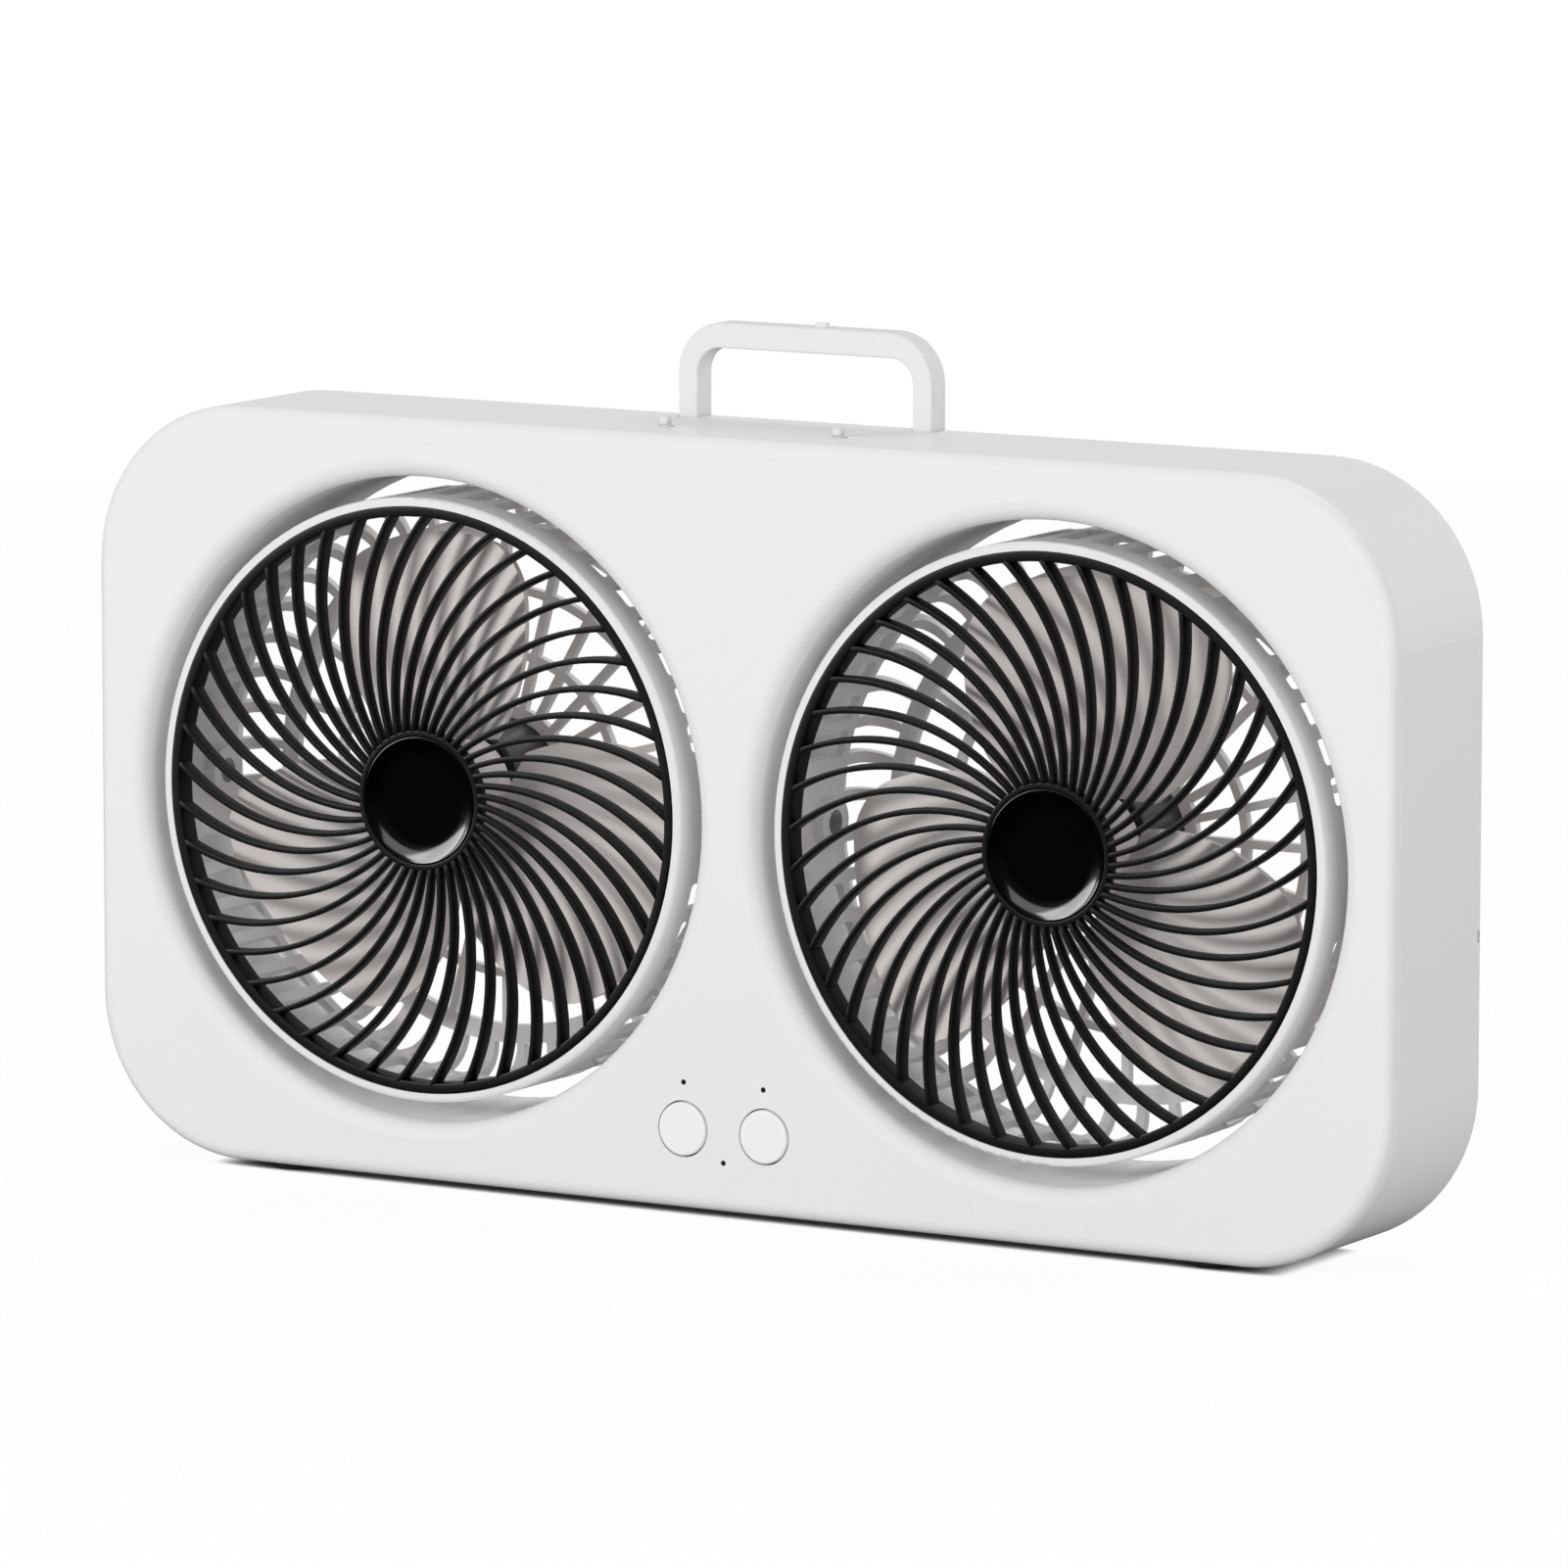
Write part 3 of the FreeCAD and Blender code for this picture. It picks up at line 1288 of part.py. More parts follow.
def motor_pieces(side):
    """Motor of a head: can, end cap, bearings, magnets, armature, shaft, nut and screws."""
    front = MOTOR_FRONT
    seam = front + s.motor_length
    bore = s.bearing_radius + s.press_gap
    sleeve = bore + s.bearing_wall
    shell_bore = s.motor_radius - s.motor_shell
    soft = s.motor_shell
    can = turned(f"{side}_motor_can", [
        (bore, front), (s.motor_radius - soft, front, soft), (s.motor_radius, front + soft),
        (s.motor_radius, seam), (shell_bore, seam), (shell_bore, front + s.motor_front),
        (sleeve, front + s.motor_front), (sleeve, front + s.bearing_length), (bore, front + s.bearing_length),
    ])
    inner_face = LATTICE - s.bearing_length
    cap = turned(f"{side}_motor_end_cap", [
        (bore, inner_face), (sleeve, inner_face), (sleeve, seam), (s.motor_radius, seam),
        (s.motor_radius, LATTICE), (bore, LATTICE),
    ])
    sketch = add_sketch(cap, "XZ_Plane", -LATTICE)
    for x, z in motor_screw_places():
        add_circle(sketch, s.motor_screw_radius + s.press_gap, x, z)
    cut_pocket(cap, sketch, "XZ_Plane", "-Y", LATTICE - seam)
    slide = s.shaft_radius + s.running_gap
    bearings = turned(
        f"{side}_motor_bearings",
        ring_outline(slide, s.bearing_radius, front, front + s.bearing_length),
        ring_outline(slide, s.bearing_radius, inner_face, LATTICE),
    )
    middle = (front + s.bearing_length + inner_face) / 2
    armature = turned(f"{side}_motor_armature", ring_outline(
        s.shaft_radius + s.press_gap, s.armature_radius,
        middle - s.armature_length / 2, middle + s.armature_length / 2))
    nut_rear = -s.rotor_hub_front
    shaft = turned(f"{side}_motor_shaft", ring_outline(
        ZERO, s.shaft_radius, nut_rear - s.nut_depth, LATTICE - s.running_gap))
    nut = turned(f"{side}_shaft_nut", ring_outline(
        s.shaft_radius + s.press_gap, s.nut_radius, nut_rear - s.nut_depth, nut_rear))
    pieces = [can, cap, bearings, motor_magnets(side, middle), armature, shaft, nut]
    return [place(piece, -s.head_offset, ZERO, MIDDLE) for piece in pieces] + [motor_screws(side)]


def motor_magnets(side, middle):
    """Two curved magnets inside the motor's can."""
    body = new_body(f"{side}_motor_magnets")
    outer = s.motor_radius - s.motor_shell - s.press_gap
    sketch = add_sketch(body, "XY_Plane")
    add_outline(sketch, ring_outline(outer - s.magnet_thick, outer, middle - s.magnet_length / 2,
                                     middle + s.magnet_length / 2))
    sweep = body.newObject("PartDesign::Revolution", "Revolution")
    sweep.Profile = sketch
    sweep.ReferenceAxis = (sketch, ["V_Axis"])
    sweep.Midplane = True
    set_size(sweep, "Angle", s.magnet_arc)
    finish_feature(body, sweep)
    mirror_across(body, [sweep], "YZ_Plane")
    return body


def motor_screws(side):
    """Screws that hold the motor on the basket's plate."""
    reach = s.lattice_thick + s.motor_cap - s.slip_gap
    items = []
    for index, (x, z) in enumerate(motor_screw_places()):
        items.append(screw(f"{side}_motor_screw_{index}", s.motor_screw_radius, s.motor_screw_head,
                           s.motor_screw_height, reach, x - s.head_offset, s.head_half_depth, MIDDLE + z))
    return grouped(f"{side}_motor_screws", items)


def pivot_pieces(side):
    """Pivot pins, pressed into the basket's bosses, and the bushes that they turn in."""
    start = BASKET_BORE - s.pin_seat + s.drum_wall
    end = PIVOT_OUT + s.bush_flange
    length = end - start
    pins = []
    for x in (-s.head_offset - end, -s.head_offset + start):
        pins.append(rod(f"{side}_pivot_pin", "x", s.pin_radius, length, x, ZERO, MIDDLE))
    inside = s.tunnel_radius + s.running_gap
    bushes = []
    for way in (-1, 1):
        sleeve_length = PIVOT_OUT - inside
        x = -s.head_offset + (inside if way > 0 else -PIVOT_OUT)
        flange_x = -s.head_offset + (PIVOT_OUT if way > 0 else -PIVOT_OUT - s.bush_flange)
        sleeve = rod(f"{side}_bush_sleeve", "x", s.bush_radius, sleeve_length, x, ZERO, MIDDLE)
        flange = rod(f"{side}_bush_rim", "x", s.bush_flange_radius, s.bush_flange, flange_x, ZERO, MIDDLE)
        bore_x = x if way > 0 else flange_x
        bore = rod(f"{side}_bush_bore", "x", s.pin_radius + s.running_gap, sleeve_length + s.bush_flange,
                   bore_x, ZERO, MIDDLE)
        bushes.append(cut_from(f"{side}_bush", joined(f"{side}_bush_blank", [sleeve, flange]), bore))
    return [grouped(f"{side}_pivot_pins", pins), grouped(f"{side}_pivot_bushes", bushes)]


def mirrored_piece(piece):
    """The same piece of the right head, mirrored across the middle of the housing."""
    item = doc.addObject("Part::Mirroring", piece.Label.replace("left_", "right_"))
    item.Source = piece
    item.Normal = FreeCAD.Vector(1, 0, 0)
    item.Base = FreeCAD.Vector(0, 0, 0)
    return item


def check_document():
    """Stop if any object of the document failed."""
    for item in doc.Objects:
        if "Invalid" in item.State or "Error" in item.State:
            raise RuntimeError(f"{item.Label} is {item.State}")


def write_piece(piece):
    """Write one sub-part, once its shape is known to be sound."""
    shape = piece.Shape
    if shape.isNull() or not shape.isValid() or not shape.Solids:
        raise RuntimeError(f"{piece.Label} has no sound shape")
    shape.exportStep(f"parts/{piece.Label}.step")
    print(f"{piece.Label}: {len(shape.Solids)} solids, {shape.Volume:.1f} mm3")


housing_pieces = [
    front_shell(), rear_cover(), cover_screws(), feet(), handle(), handle_pins(),
    button("left_button", -1), button("right_button", 1), button_switches(), light_pipes(),
    control_board(), board_screws(), *battery_pieces(), charge_socket(), *charge_board_pieces(),
    slide_knob("left_slide_knob", -1), slide_knob("right_slide_knob", 1), slide_switch_bodies(),
]
left_pieces = [
    guard_basket("left_guard_basket"), rear_lattice("left_rear_lattice"), front_grille("left_front_grille"),
    hub_cap("left_hub_cap"), rotor("left_rotor"), *motor_pieces("left"), *pivot_pieces("left"),
]
doc.recompute()
right_pieces = [mirrored_piece(piece) for piece in left_pieces]
doc.recompute()
check_document()
os.makedirs("parts", exist_ok=True)
for sub_part in housing_pieces + left_pieces + right_pieces:
    write_piece(sub_part)
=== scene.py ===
"""Looks of a dual-head desk fan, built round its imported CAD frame. Metres, X right, Y back, Z up."""
import json
import logging
import math
from dataclasses import dataclass
from enum import Enum
from itertools import product
from typing import Iterable, Mapping, Sequence

import bmesh
import bpy
from mathutils import Matrix, Vector

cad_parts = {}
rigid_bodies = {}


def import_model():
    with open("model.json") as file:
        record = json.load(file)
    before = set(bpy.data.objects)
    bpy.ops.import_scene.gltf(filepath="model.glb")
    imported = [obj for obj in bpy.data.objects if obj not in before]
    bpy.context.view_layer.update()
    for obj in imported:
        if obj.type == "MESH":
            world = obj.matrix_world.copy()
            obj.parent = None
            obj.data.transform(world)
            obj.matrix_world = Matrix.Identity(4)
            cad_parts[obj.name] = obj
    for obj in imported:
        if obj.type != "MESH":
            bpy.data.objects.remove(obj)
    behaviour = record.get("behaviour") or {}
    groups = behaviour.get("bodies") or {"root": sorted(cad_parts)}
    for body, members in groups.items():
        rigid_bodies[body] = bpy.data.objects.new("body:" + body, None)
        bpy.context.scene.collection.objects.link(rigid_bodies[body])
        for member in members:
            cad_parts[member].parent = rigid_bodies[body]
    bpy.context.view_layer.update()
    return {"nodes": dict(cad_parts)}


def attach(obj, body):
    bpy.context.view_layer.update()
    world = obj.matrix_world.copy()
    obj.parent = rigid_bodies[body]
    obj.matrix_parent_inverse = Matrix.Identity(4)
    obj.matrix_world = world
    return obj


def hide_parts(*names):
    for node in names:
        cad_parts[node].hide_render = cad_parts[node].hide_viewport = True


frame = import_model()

MM = 0.001
FULL_TURN = 2 * math.pi
# Height of the heads' axes, in millimetres
MIDDLE_HEIGHT = 92.5
# Corners nearer to each other than this are merged, in metres
WELD = 1e-7
# Edges that turn by less than this are shaded smooth, in degrees
SMOOTH_BELOW = 40.0
# Faces across a rounding
ROUND_STEPS = 3
WHITE = (1.0, 1.0, 1.0, 1.0)
# A Mix node's sockets share their names, so they are given by number: two inputs and the output
COLOUR_A, COLOUR_B, COLOUR_OUT = 6, 7, 2
VALUE_A, VALUE_B, VALUE_OUT = 2, 3, 0
log = logging.getLogger("desk_fan")


class Side(Enum):
    """The two heads, as seen from the front. The value is the sign of their place along X."""

    LEFT = -1
    RIGHT = 1

    @property
    def word(self) -> str:
        """Name used in node and body names."""
        return self.name.lower()


# Small helpers for materials

def linear(hex_colour: str) -> tuple[float, float, float, float]:
    """Turn an sRGB hex colour to linear.

    Args:
        hex_colour: Six hex digits after a hash sign.

    Returns:
        Red, green, blue and an alpha of one.
    """
    parts = [int(hex_colour[i:i + 2], 16) / 255 for i in (1, 3, 5)]
    bent = [p / 12.92 if p <= 0.04045 else ((p + 0.055) / 1.055) ** 2.4 for p in parts]
    return (*bent, 1.0)


def per_mm(size_mm: float) -> float:
    """Texture scale that gives features of a real size on Object coordinates."""
    return 1.0 / (size_mm * MM)


def add_node(tree: bpy.types.NodeTree, kind: str, settings: Mapping | None = None,
             links: Mapping | None = None) -> bpy.types.Node:
    """Add a node with its settings and links.

    Args:
        tree: Node tree of a material or world.
        kind: Blender's name of the node type.
        settings: Input names or numbers, or node properties, with their values.
        links: Input names or numbers with the sockets that feed them.

    Returns:
        The new node.
    """
    node = tree.nodes.new(kind)
    for key, value in (settings or {}).items():
        if isinstance(key, int) or key in node.inputs:
            node.inputs[key].default_value = value
        else:
            setattr(node, key, value)
    for key, socket in (links or {}).items():
        tree.links.new(socket, node.inputs[key])
    return node


def new_material(name: str) -> tuple[bpy.types.Material, bpy.types.NodeTree]:
    """Start an empty node material.

    Args:
        name: Name of the finish.

    Returns:
        The material and its node tree.
    """
    material = bpy.data.materials.new(name)
    material.use_nodes = True
    material.node_tree.nodes.clear()
    return material, material.node_tree


# Finishes

@dataclass(frozen=True)
class MouldedPlastic:
    """Injection-moulded plastic: even colour with faint flow clouds, and a fine skin off the mould."""

    name: str
    colour: str
    cloud_colour: str
    roughness: float = 0.3
    roughness_spread: float = 0.05
    ior: float = 1.53
    specular: float = 0.5
    cloud_mm: float = 45.0
    # A mould's grain is nearer a tenth of a millimetre, too fine to show, so it is drawn this coarse
    skin_mm: float = 0.9
    skin_depth_mm: float = 0.004
    skin_strength: float = 0.6
    cloud_detail: float = 3.0
    skin_detail: float = 2.0

    def material(self) -> bpy.types.Material:
        """Build the node material.

        Returns:
            The new material.
        """
        material, tree = new_material(self.name)
        place = add_node(tree, "ShaderNodeTexCoord").outputs["Object"]
        clouds = add_node(tree, "ShaderNodeTexNoise",
                          {"Scale": per_mm(self.cloud_mm), "Detail": self.cloud_detail},
                          {"Vector": place}).outputs["Fac"]
        tint = add_node(tree, "ShaderNodeMix",
                        {"data_type": "RGBA", COLOUR_A: linear(self.colour),
                         COLOUR_B: linear(self.cloud_colour)},
                        {0: clouds}).outputs[COLOUR_OUT]
        skin = add_node(tree, "ShaderNodeTexNoise",
                        {"Scale": per_mm(self.skin_mm), "Detail": self.skin_detail},
                        {"Vector": place}).outputs["Fac"]
        gloss = add_node(tree, "ShaderNodeMapRange",
                         {"To Min": self.roughness - self.roughness_spread,
                          "To Max": self.roughness + self.roughness_spread},
                         {"Value": clouds}).outputs["Result"]
        bump = add_node(tree, "ShaderNodeBump",
                        {"Strength": self.skin_strength, "Distance": self.skin_depth_mm * MM},
                        {"Height": skin}).outputs["Normal"]
        shader = add_node(tree, "ShaderNodeBsdfPrincipled",
                          {"IOR": self.ior, "Specular IOR Level": self.specular},
                          {"Base Color": tint, "Roughness": gloss, "Normal": bump})
        add_node(tree, "ShaderNodeOutputMaterial", links={"Surface": shader.outputs["BSDF"]})
        return material


@dataclass(frozen=True)
class WorkedMetal:
    """Turned, plated or sintered metal: fine streaks or grains that vary its shine."""

    name: str
    colour: str
    grain_colour: str
    roughness: float = 0.3
    # Tool marks and sintered grains are finer than this, and are drawn as coarse as they need to show
    grain_mm: float = 0.8
    finer_along_y: float = 8.0
    roughness_spread: float = 0.08
    grain_detail: float = 4.0

    def material(self) -> bpy.types.Material:
        """Build the node material.

        Returns:
            The new material.
        """
        material, tree = new_material(self.name)
        place = add_node(tree, "ShaderNodeTexCoord").outputs["Object"]
        drawn = add_node(tree, "ShaderNodeMapping", {"Scale": (1.0, self.finer_along_y, 1.0)},
                         {"Vector": place}).outputs["Vector"]
        grain = add_node(tree, "ShaderNodeTexNoise",
                         {"Scale": per_mm(self.grain_mm), "Detail": self.grain_detail},
                         {"Vector": drawn}).outputs["Fac"]
        tint = add_node(tree, "ShaderNodeMix",
                        {"data_type": "RGBA", COLOUR_A: linear(self.colour),
                         COLOUR_B: linear(self.grain_colour)},
                        {0: grain}).outputs[COLOUR_OUT]
        gloss = add_node(tree, "ShaderNodeMapRange",
                         {"To Min": self.roughness - self.roughness_spread,
                          "To Max": self.roughness + self.roughness_spread},
                         {"Value": grain}).outputs["Result"]
        shader = add_node(tree, "ShaderNodeBsdfPrincipled", {"Metallic": 1.0},
                          {"Base Color": tint, "Roughness": gloss})
        add_node(tree, "ShaderNodeOutputMaterial", links={"Surface": shader.outputs["BSDF"]})
        return material


# White ABS off a fine-grained mould: bright and even, with hardly a highlight
HOUSING_WHITE = MouldedPlastic("white_abs_moulded", "#eeeeee", "#ececec", roughness=0.26, specular=0.14,
                               cloud_mm=60.0)
# White ABS of the handle, the same plastic as the casing: a shade greyer as painted shade, and more matt
HANDLE_WHITE = MouldedPlastic("white_abs_handle", "#e8e8e8", "#e5e5e5", roughness=0.42, specular=0.14,
                              cloud_mm=20.0)
# White ABS of the buttons, the same plastic as the casing: a shade brighter as painted light over the shade
# of their dish, and as matt as the handle
BUTTON_WHITE = MouldedPlastic("white_abs_button", "#f6f6f6", "#f3f3f3", roughness=0.42, specular=0.14,
                              cloud_mm=9.0)
# White ABS of the slide knobs: a shade greyer than the casing, with a soft highlight
KNOB_WHITE = MouldedPlastic("white_abs_slide_knob", "#e6e6e6", "#dedede", roughness=0.35, cloud_mm=4.0)
# White ABS of the guard baskets: a shade warmer than the casing, with a soft sheen
BASKET_WHITE = MouldedPlastic("white_abs_basket", "#f0efee", "#eae8e7", roughness=0.3, cloud_mm=30.0)
# Black ABS with a satin skin: deep, with grey lights along its edges
GRILLE_BLACK = MouldedPlastic("black_abs_satin", "#080807", "#0c0b0b", roughness=0.45, specular=0.14,
                              cloud_mm=12.0)
# Polished black ABS: mirror-like and nearly colourless
CAP_BLACK = MouldedPlastic("black_abs_polished", "#010101", "#020202", roughness=0.15, roughness_spread=0.02,
                           cloud_mm=10.0, skin_depth_mm=0.001)
# Pale pinkish polypropylene blades: milky, with a soft sheen
BLADE_PALE = MouldedPlastic("pale_polypropylene", "#f5efed", "#efe6e4", roughness=0.3, ior=1.49,
                            cloud_mm=18.0)
# Moulded black nylon of the pieces inside: charcoal and dull
INNER_BLACK = MouldedPlastic("black_nylon_moulded", "#262626", "#303030", roughness=0.5, cloud_mm=6.0)
# Moulded phenolic of the push switches: near black, with a faint sheen
SWITCH_BLACK = MouldedPlastic("black_phenolic_switch", "#1c1c1c", "#272727", roughness=0.45, cloud_mm=3.0)
# Moulded nylon of the slide switches: off-white and dull
SWITCH_PALE = MouldedPlastic("white_nylon_switch", "#dcdcda", "#d0d0cd", roughness=0.5, cloud_mm=3.0)
# Turned acetal of the pivot bushes: warm off-white with a waxy sheen
BUSH_PALE = MouldedPlastic("acetal_turned", "#e2e0da", "#d8d5ce", roughness=0.35, ior=1.48, cloud_mm=4.0)
# Smoked acrylic of the light pipes, unlit: dark, with a sharp highlight
LENS_DARK = MouldedPlastic("smoked_acrylic", "#1d1d1d", "#262626", roughness=0.12, ior=1.49, cloud_mm=1.0)
# Black silicone rubber of the feet: matt, with a pitted skin
FOOT_RUBBER = MouldedPlastic("black_silicone_rubber", "#202020", "#2a2a2a", roughness=0.7,
                             roughness_spread=0.1, ior=1.41, cloud_mm=5.0, skin_mm=0.5, skin_depth_mm=0.03)
# Glass and epoxy circuit board under its solder mask: deep green with a soft gloss
BOARD_GREEN = MouldedPlastic("glass_epoxy_board", "#1f5a36", "#2a6a42", roughness=0.35, cloud_mm=2.5)
# Shrink wrap of the battery cell: blue and glossy
CELL_WRAP = MouldedPlastic("pvc_shrink_wrap", "#3a6ea8", "#44799f", roughness=0.25, cloud_mm=14.0)
# Zinc-plated steel of screws, pins and shafts: bright grey with fine streaks
SCREW_STEEL = WorkedMetal("zinc_plated_steel", "#b9bbbd", "#9a9c9e", roughness=0.32)
# Deep-drawn steel of the motor cans: dark grey with fine rings
MOTOR_STEEL = WorkedMetal("deep_drawn_steel_can", "#5d5e60", "#4b4c4e", roughness=0.36, grain_mm=1.6)
# Laminated iron of the armatures: dull grey, streaked along its axis
CORE_IRON = WorkedMetal("laminated_core_iron", "#7a7775", "#5c5957", roughness=0.5, grain_mm=0.6,
                        finer_along_y=0.2)
# Sintered ferrite of the magnets: charcoal, dull and grainy
MAGNET_GREY = WorkedMetal("sintered_ferrite", "#4a4a4d", "#3a3a3d", roughness=0.6, grain_mm=0.4,
                          finer_along_y=1.0)
# Sintered bronze of the bearings: brownish yellow and grainy
BEARING_BRONZE = WorkedMetal("sintered_bronze", "#b08a4e", "#8f6c3a", roughness=0.45, grain_mm=0.4,
                             finer_along_y=1.0)

HOUSING_NODES = {
    "front_shell": HOUSING_WHITE, "rear_cover": HOUSING_WHITE, "handle": HANDLE_WHITE,
    "cover_screws": SCREW_STEEL, "feet": FOOT_RUBBER, "handle_pins": SCREW_STEEL,
    "left_button": BUTTON_WHITE, "right_button": BUTTON_WHITE, "button_switches": SWITCH_BLACK,
    "light_pipes": LENS_DARK, "control_board": BOARD_GREEN, "board_screws": SCREW_STEEL,
    "battery_cell": CELL_WRAP, "battery_cradle": INNER_BLACK, "charge_socket": SCREW_STEEL,
    "charge_board": BOARD_GREEN, "charge_posts": INNER_BLACK, "left_slide_knob": KNOB_WHITE,
    "right_slide_knob": KNOB_WHITE, "slide_switch_bodies": SWITCH_PALE,
}
HEAD_NODES = {
    "guard_basket": BASKET_WHITE, "rear_lattice": BASKET_WHITE, "front_grille": GRILLE_BLACK,
    "hub_cap": CAP_BLACK, "rotor": BLADE_PALE,
    "motor_can": MOTOR_STEEL, "motor_end_cap": INNER_BLACK, "motor_bearings": BEARING_BRONZE,
    "motor_magnets": MAGNET_GREY, "motor_armature": CORE_IRON, "motor_shaft": SCREW_STEEL,
    "shaft_nut": SCREW_STEEL, "motor_screws": SCREW_STEEL, "pivot_pins": SCREW_STEEL,
    "pivot_bushes": BUSH_PALE,
}


class Finishes:
    """Makes each finish's material once."""

    def __init__(self) -> None:
        """Start with no material made."""
        self.made: dict[str, bpy.types.Material] = {}

    def of(self, finish: MouldedPlastic | WorkedMetal) -> bpy.types.Material:
        """Give the material of a finish, made at its first use.

        Args:
            finish: The finish.

        Returns:
            Its material.
        """
        if finish.name not in self.made:
            self.made[finish.name] = finish.material()
        return self.made[finish.name]

    def dress_node(self, node: str, finish: MouldedPlastic | WorkedMetal) -> None:
        """Give a CAD node a finish in all its material slots.

        Args:
            node: Name of the node.
            finish: Its finish.
        """
        piece = frame["nodes"][node]
        for place in piece.material_slots:
            place.material = self.of(finish)
        log.info("%s: %s", node, finish.name)


# Small helpers for meshes

def lathe(profile: Sequence[tuple[float, float]], steps: int) -> bmesh.types.BMesh:
    """Turn a profile about the Y axis, closed unless it starts and ends on the axis.

    Args:
        profile: Corners as (radius, y) in millimetres, in order.
        steps: Number of steps round the axis.

    Returns:
        The turned mesh, in metres.
    """
    mesh = bmesh.new()
    corners = [mesh.verts.new((radius * MM, y * MM, 0.0)) for radius, y in profile]
    pairs = list(zip(corners, corners[1:]))
    if profile[0][0] > 0:
        pairs.append((corners[-1], corners[0]))
    edges = [mesh.edges.new(pair) for pair in pairs]
    bmesh.ops.spin(mesh, geom=corners + edges, cent=(0, 0, 0), axis=(0, 1, 0), angle=FULL_TURN, steps=steps,
                   use_merge=True)
    bmesh.ops.remove_doubles(mesh, verts=mesh.verts[:], dist=WELD)
    bmesh.ops.recalc_face_normals(mesh, faces=mesh.faces[:])
    return mesh


def soften(mesh: bmesh.types.BMesh, width_mm: float, segments: int = 2, sharper_than: float = 35.0) -> None:
    """Round the sharp edges of a mesh.

    Args:
        mesh: Mesh to change.
        width_mm: Width of the rounding.
        segments: Faces across it.
        sharper_than: Edges that turn by more than this many degrees are rounded.
    """
    limit = math.radians(sharper_than)
    sharp = [edge for edge in mesh.edges if len(edge.link_faces) == 2 and edge.calc_face_angle() > limit]
    bmesh.ops.bevel(mesh, geom=sharp, offset=width_mm * MM, offset_type="OFFSET", affect="EDGES",
                    segments=segments, profile=0.5, clamp_overlap=True, material=-1)


def rounded_block(size: Sequence[float], middle: Sequence[float], width_mm: float) -> bmesh.types.BMesh:
    """Make a block with soft edges.

    Args:
        size: Width, depth and height in millimetres.
        middle: Place of its middle in millimetres.
        width_mm: Width of the rounding.

    Returns:
        The block's mesh, in metres.
    """
    mesh = bmesh.new()
    bmesh.ops.create_cube(mesh, size=MM)
    bmesh.ops.scale(mesh, vec=size, verts=mesh.verts[:])
    soften(mesh, width_mm, ROUND_STEPS)
    bmesh.ops.translate(mesh, vec=Vector(middle) * MM, verts=mesh.verts[:])
    return mesh


def repeat_round(mesh: bmesh.types.BMesh, count: int) -> None:
    """Repeat all of a mesh evenly about the Y axis.

    Args:
        mesh: Mesh to change.
        count: Number of copies in the full turn.
    """
    everything = mesh.verts[:] + mesh.edges[:] + mesh.faces[:]
    bmesh.ops.spin(mesh, geom=everything, cent=(0, 0, 0), axis=(0, 1, 0), use_duplicate=True,
                   angle=FULL_TURN * (count - 1) / count, steps=count - 1)


def copy_into(target: bmesh.types.BMesh, source: bmesh.types.BMesh) -> None:
    """Add one mesh to another.

    Args:
        target: Mesh to add to.
        source: Mesh that is added and freed.
    """
    data = bpy.data.meshes.new("passing")
    source.to_mesh(data)
    source.free()
    target.from_mesh(data)
    bpy.data.meshes.remove(data)


def add_piece(name: str, mesh: bmesh.types.BMesh, body: str, material: bpy.types.Material,
              replaces: Iterable[str]) -> None:
    """Finish a mesh as a piece of the object.

    Args:
        name: Name of the piece.
        mesh: Its mesh, in the frame's place, which is freed.
        body: CAD body that it rides on.
        material: Its material.
        replaces: CAD nodes that it stands for.
    """
    data = bpy.data.meshes.new(name)
    mesh.to_mesh(data)
    mesh.free()
    data.shade_smooth()
    data.set_sharp_from_angle(angle=math.radians(SMOOTH_BELOW))
    piece = bpy.data.objects.new(name, data)
    bpy.context.scene.collection.objects.link(piece)
    data.materials.append(material)
    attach(piece, body)
    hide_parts(*replaces)
    log.info("%s: %d faces", name, len(data.polygons))


